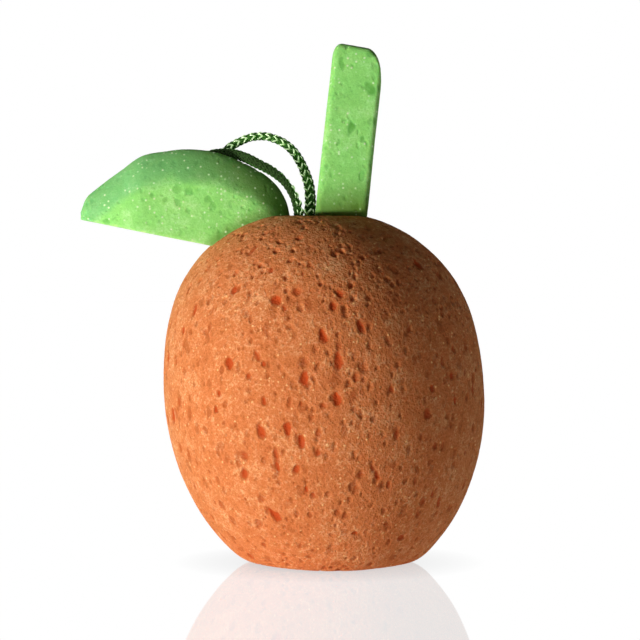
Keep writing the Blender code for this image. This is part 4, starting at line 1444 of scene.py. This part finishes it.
class SPONGE_OT_stage(bpy.types.Operator):
    """Make the camera, the lamp, the world and the floor"""

    bl_idname = "sponge.stage"
    bl_label = "Stage"

    def execute(self, context):
        s = settings("stage")
        scene = context.scene
        scene.view_settings.view_transform = "Standard"
        back = Vector((0.0, -math.cos(s.elevation), math.sin(s.elevation)))
        camera = bpy.data.objects.new("camera", bpy.data.cameras.new("camera"))
        camera.data.lens = s.lens
        camera.data.sensor_width = 36.0
        camera.data.clip_start = 0.01
        camera.location = Vector(s.aim) + back * s.distance
        camera.rotation_euler = (-back).to_track_quat("-Z", "Y").to_euler()
        scene.collection.objects.link(camera)
        scene.camera = camera
        lamp("key", s.key_place, s.key_aim, s.key_wide, s.key_tall, s.key, (1.0, 0.985, 0.96))
        self.make_world(scene, s.ambient)
        self.make_floor(s)
        return {"FINISHED"}

    def make_world(self, scene, ambient):
        """White for what looks at it, and a low even light for the rest."""
        world = bpy.data.worlds.new("studio")
        scene.world = world
        world.use_nodes = True
        tree = world.node_tree
        shown = tree.nodes["Background"]
        shown.inputs["Color"].default_value = (1.0, 1.0, 1.0, 1.0)
        shown.inputs["Strength"].default_value = 1.0
        low = tree.nodes.new("ShaderNodeBackground")
        low.inputs["Color"].default_value = (1.0, 0.92, 0.82, 1.0)
        low.inputs["Strength"].default_value = ambient
        mix = tree.nodes.new("ShaderNodeMixShader")
        tree.links.new(seen_rays(tree), mix.inputs["Fac"])
        tree.links.new(low.outputs[0], mix.inputs[1])
        tree.links.new(shown.outputs[0], mix.inputs[2])
        tree.links.new(mix.outputs[0], tree.nodes["World Output"].inputs["Surface"])

    def make_floor(self, s):
        """A level sheet: white for what looks at it, with a soft shadow and a faint mirror image, and a low
        even light for the rest."""
        grid = np.linspace(-3.0, 3.0, 2)
        x, y = (a.ravel() for a in np.meshgrid(grid, grid, indexing="ij"))
        floor = new_mesh("floor", np.column_stack([x, y, np.full(4, -s.floor_drop)]), grid_quads(2, 2))
        grey = (0.8, 0.8, 0.8, 1.0)
        finish = Finish("floor_finish", roughness=1.0, specular_ior_level=0.0, base_color=grey)
        tree = finish.tree
        near = finish.node("AmbientOcclusion", {"samples": 8}, {"Distance": s.contact_reach}, "AO")
        level = 1.0 - (1.0 - near) * s.contact
        seen = Link(finish, seen_rays(tree))
        own = finish.node("Emission", {}, {"Strength": seen * (level - s.bounce) + s.bounce})
        plain = finish.node("MixShader", {}, {0: seen, 1: Link(finish, finish.shader.outputs[0]), 2: own})
        both = finish.node("AddShader", {}, {0: plain, 1: finish.node("MixShader", {}, {0: seen, 1: own})})
        mirror = finish.node("BsdfGlossy", {}, {"Color": (1.0, 1.0, 1.0, 1.0), "Roughness": 0.03})
        shown = finish.node("MixShader", {}, {0: s.mirror, 1: both, 2: mirror})
        tree.links.new(shown.socket, tree.nodes["Material Output"].inputs["Surface"])
        floor.data.materials.append(finish.material)


# Add-on


class SPONGE_PT_panel(bpy.types.Panel):
    """The sponge's pieces and their settings"""

    bl_idname = "SPONGE_PT_panel"
    bl_label = "Bath sponge"
    bl_space_type = "VIEW_3D"
    bl_region_type = "UI"
    bl_category = "Sponge"

    def draw(self, context):
        for operator in OPERATORS:
            self.layout.operator(operator.bl_idname)
        for name, group in GROUPS.items():
            box = self.layout.box()
            box.label(text=name.title())
            for key in group.__annotations__:
                box.prop(settings(name), key)


GROUPS = {
    "fruit": FruitSettings,
    "leaf": LeafSettings,
    "stem": StemSettings,
    "loop": LoopSettings,
    "stage": StageSettings,
}
OPERATORS = (SPONGE_OT_stage, SPONGE_OT_loop, SPONGE_OT_fruit, SPONGE_OT_leaf, SPONGE_OT_stem, SPONGE_OT_glue)


def register():
    for kind in (*GROUPS.values(), *OPERATORS, SPONGE_PT_panel):
        bpy.utils.register_class(kind)
    for name, group in GROUPS.items():
        setattr(bpy.types.Scene, "sponge_" + name, PointerProperty(type=group))


def unregister():
    for name in GROUPS:
        delattr(bpy.types.Scene, "sponge_" + name)
    for kind in (SPONGE_PT_panel, *reversed(OPERATORS), *reversed(GROUPS.values())):
        bpy.utils.unregister_class(kind)


def main():
    """Makes everything in order."""
    register()
    bpy.ops.sponge.stage()
    bpy.ops.sponge.loop()
    bpy.ops.sponge.fruit()
    bpy.ops.sponge.leaf()
    bpy.ops.sponge.stem()
    bpy.ops.sponge.glue()


if __name__ == "__main__":
    main()
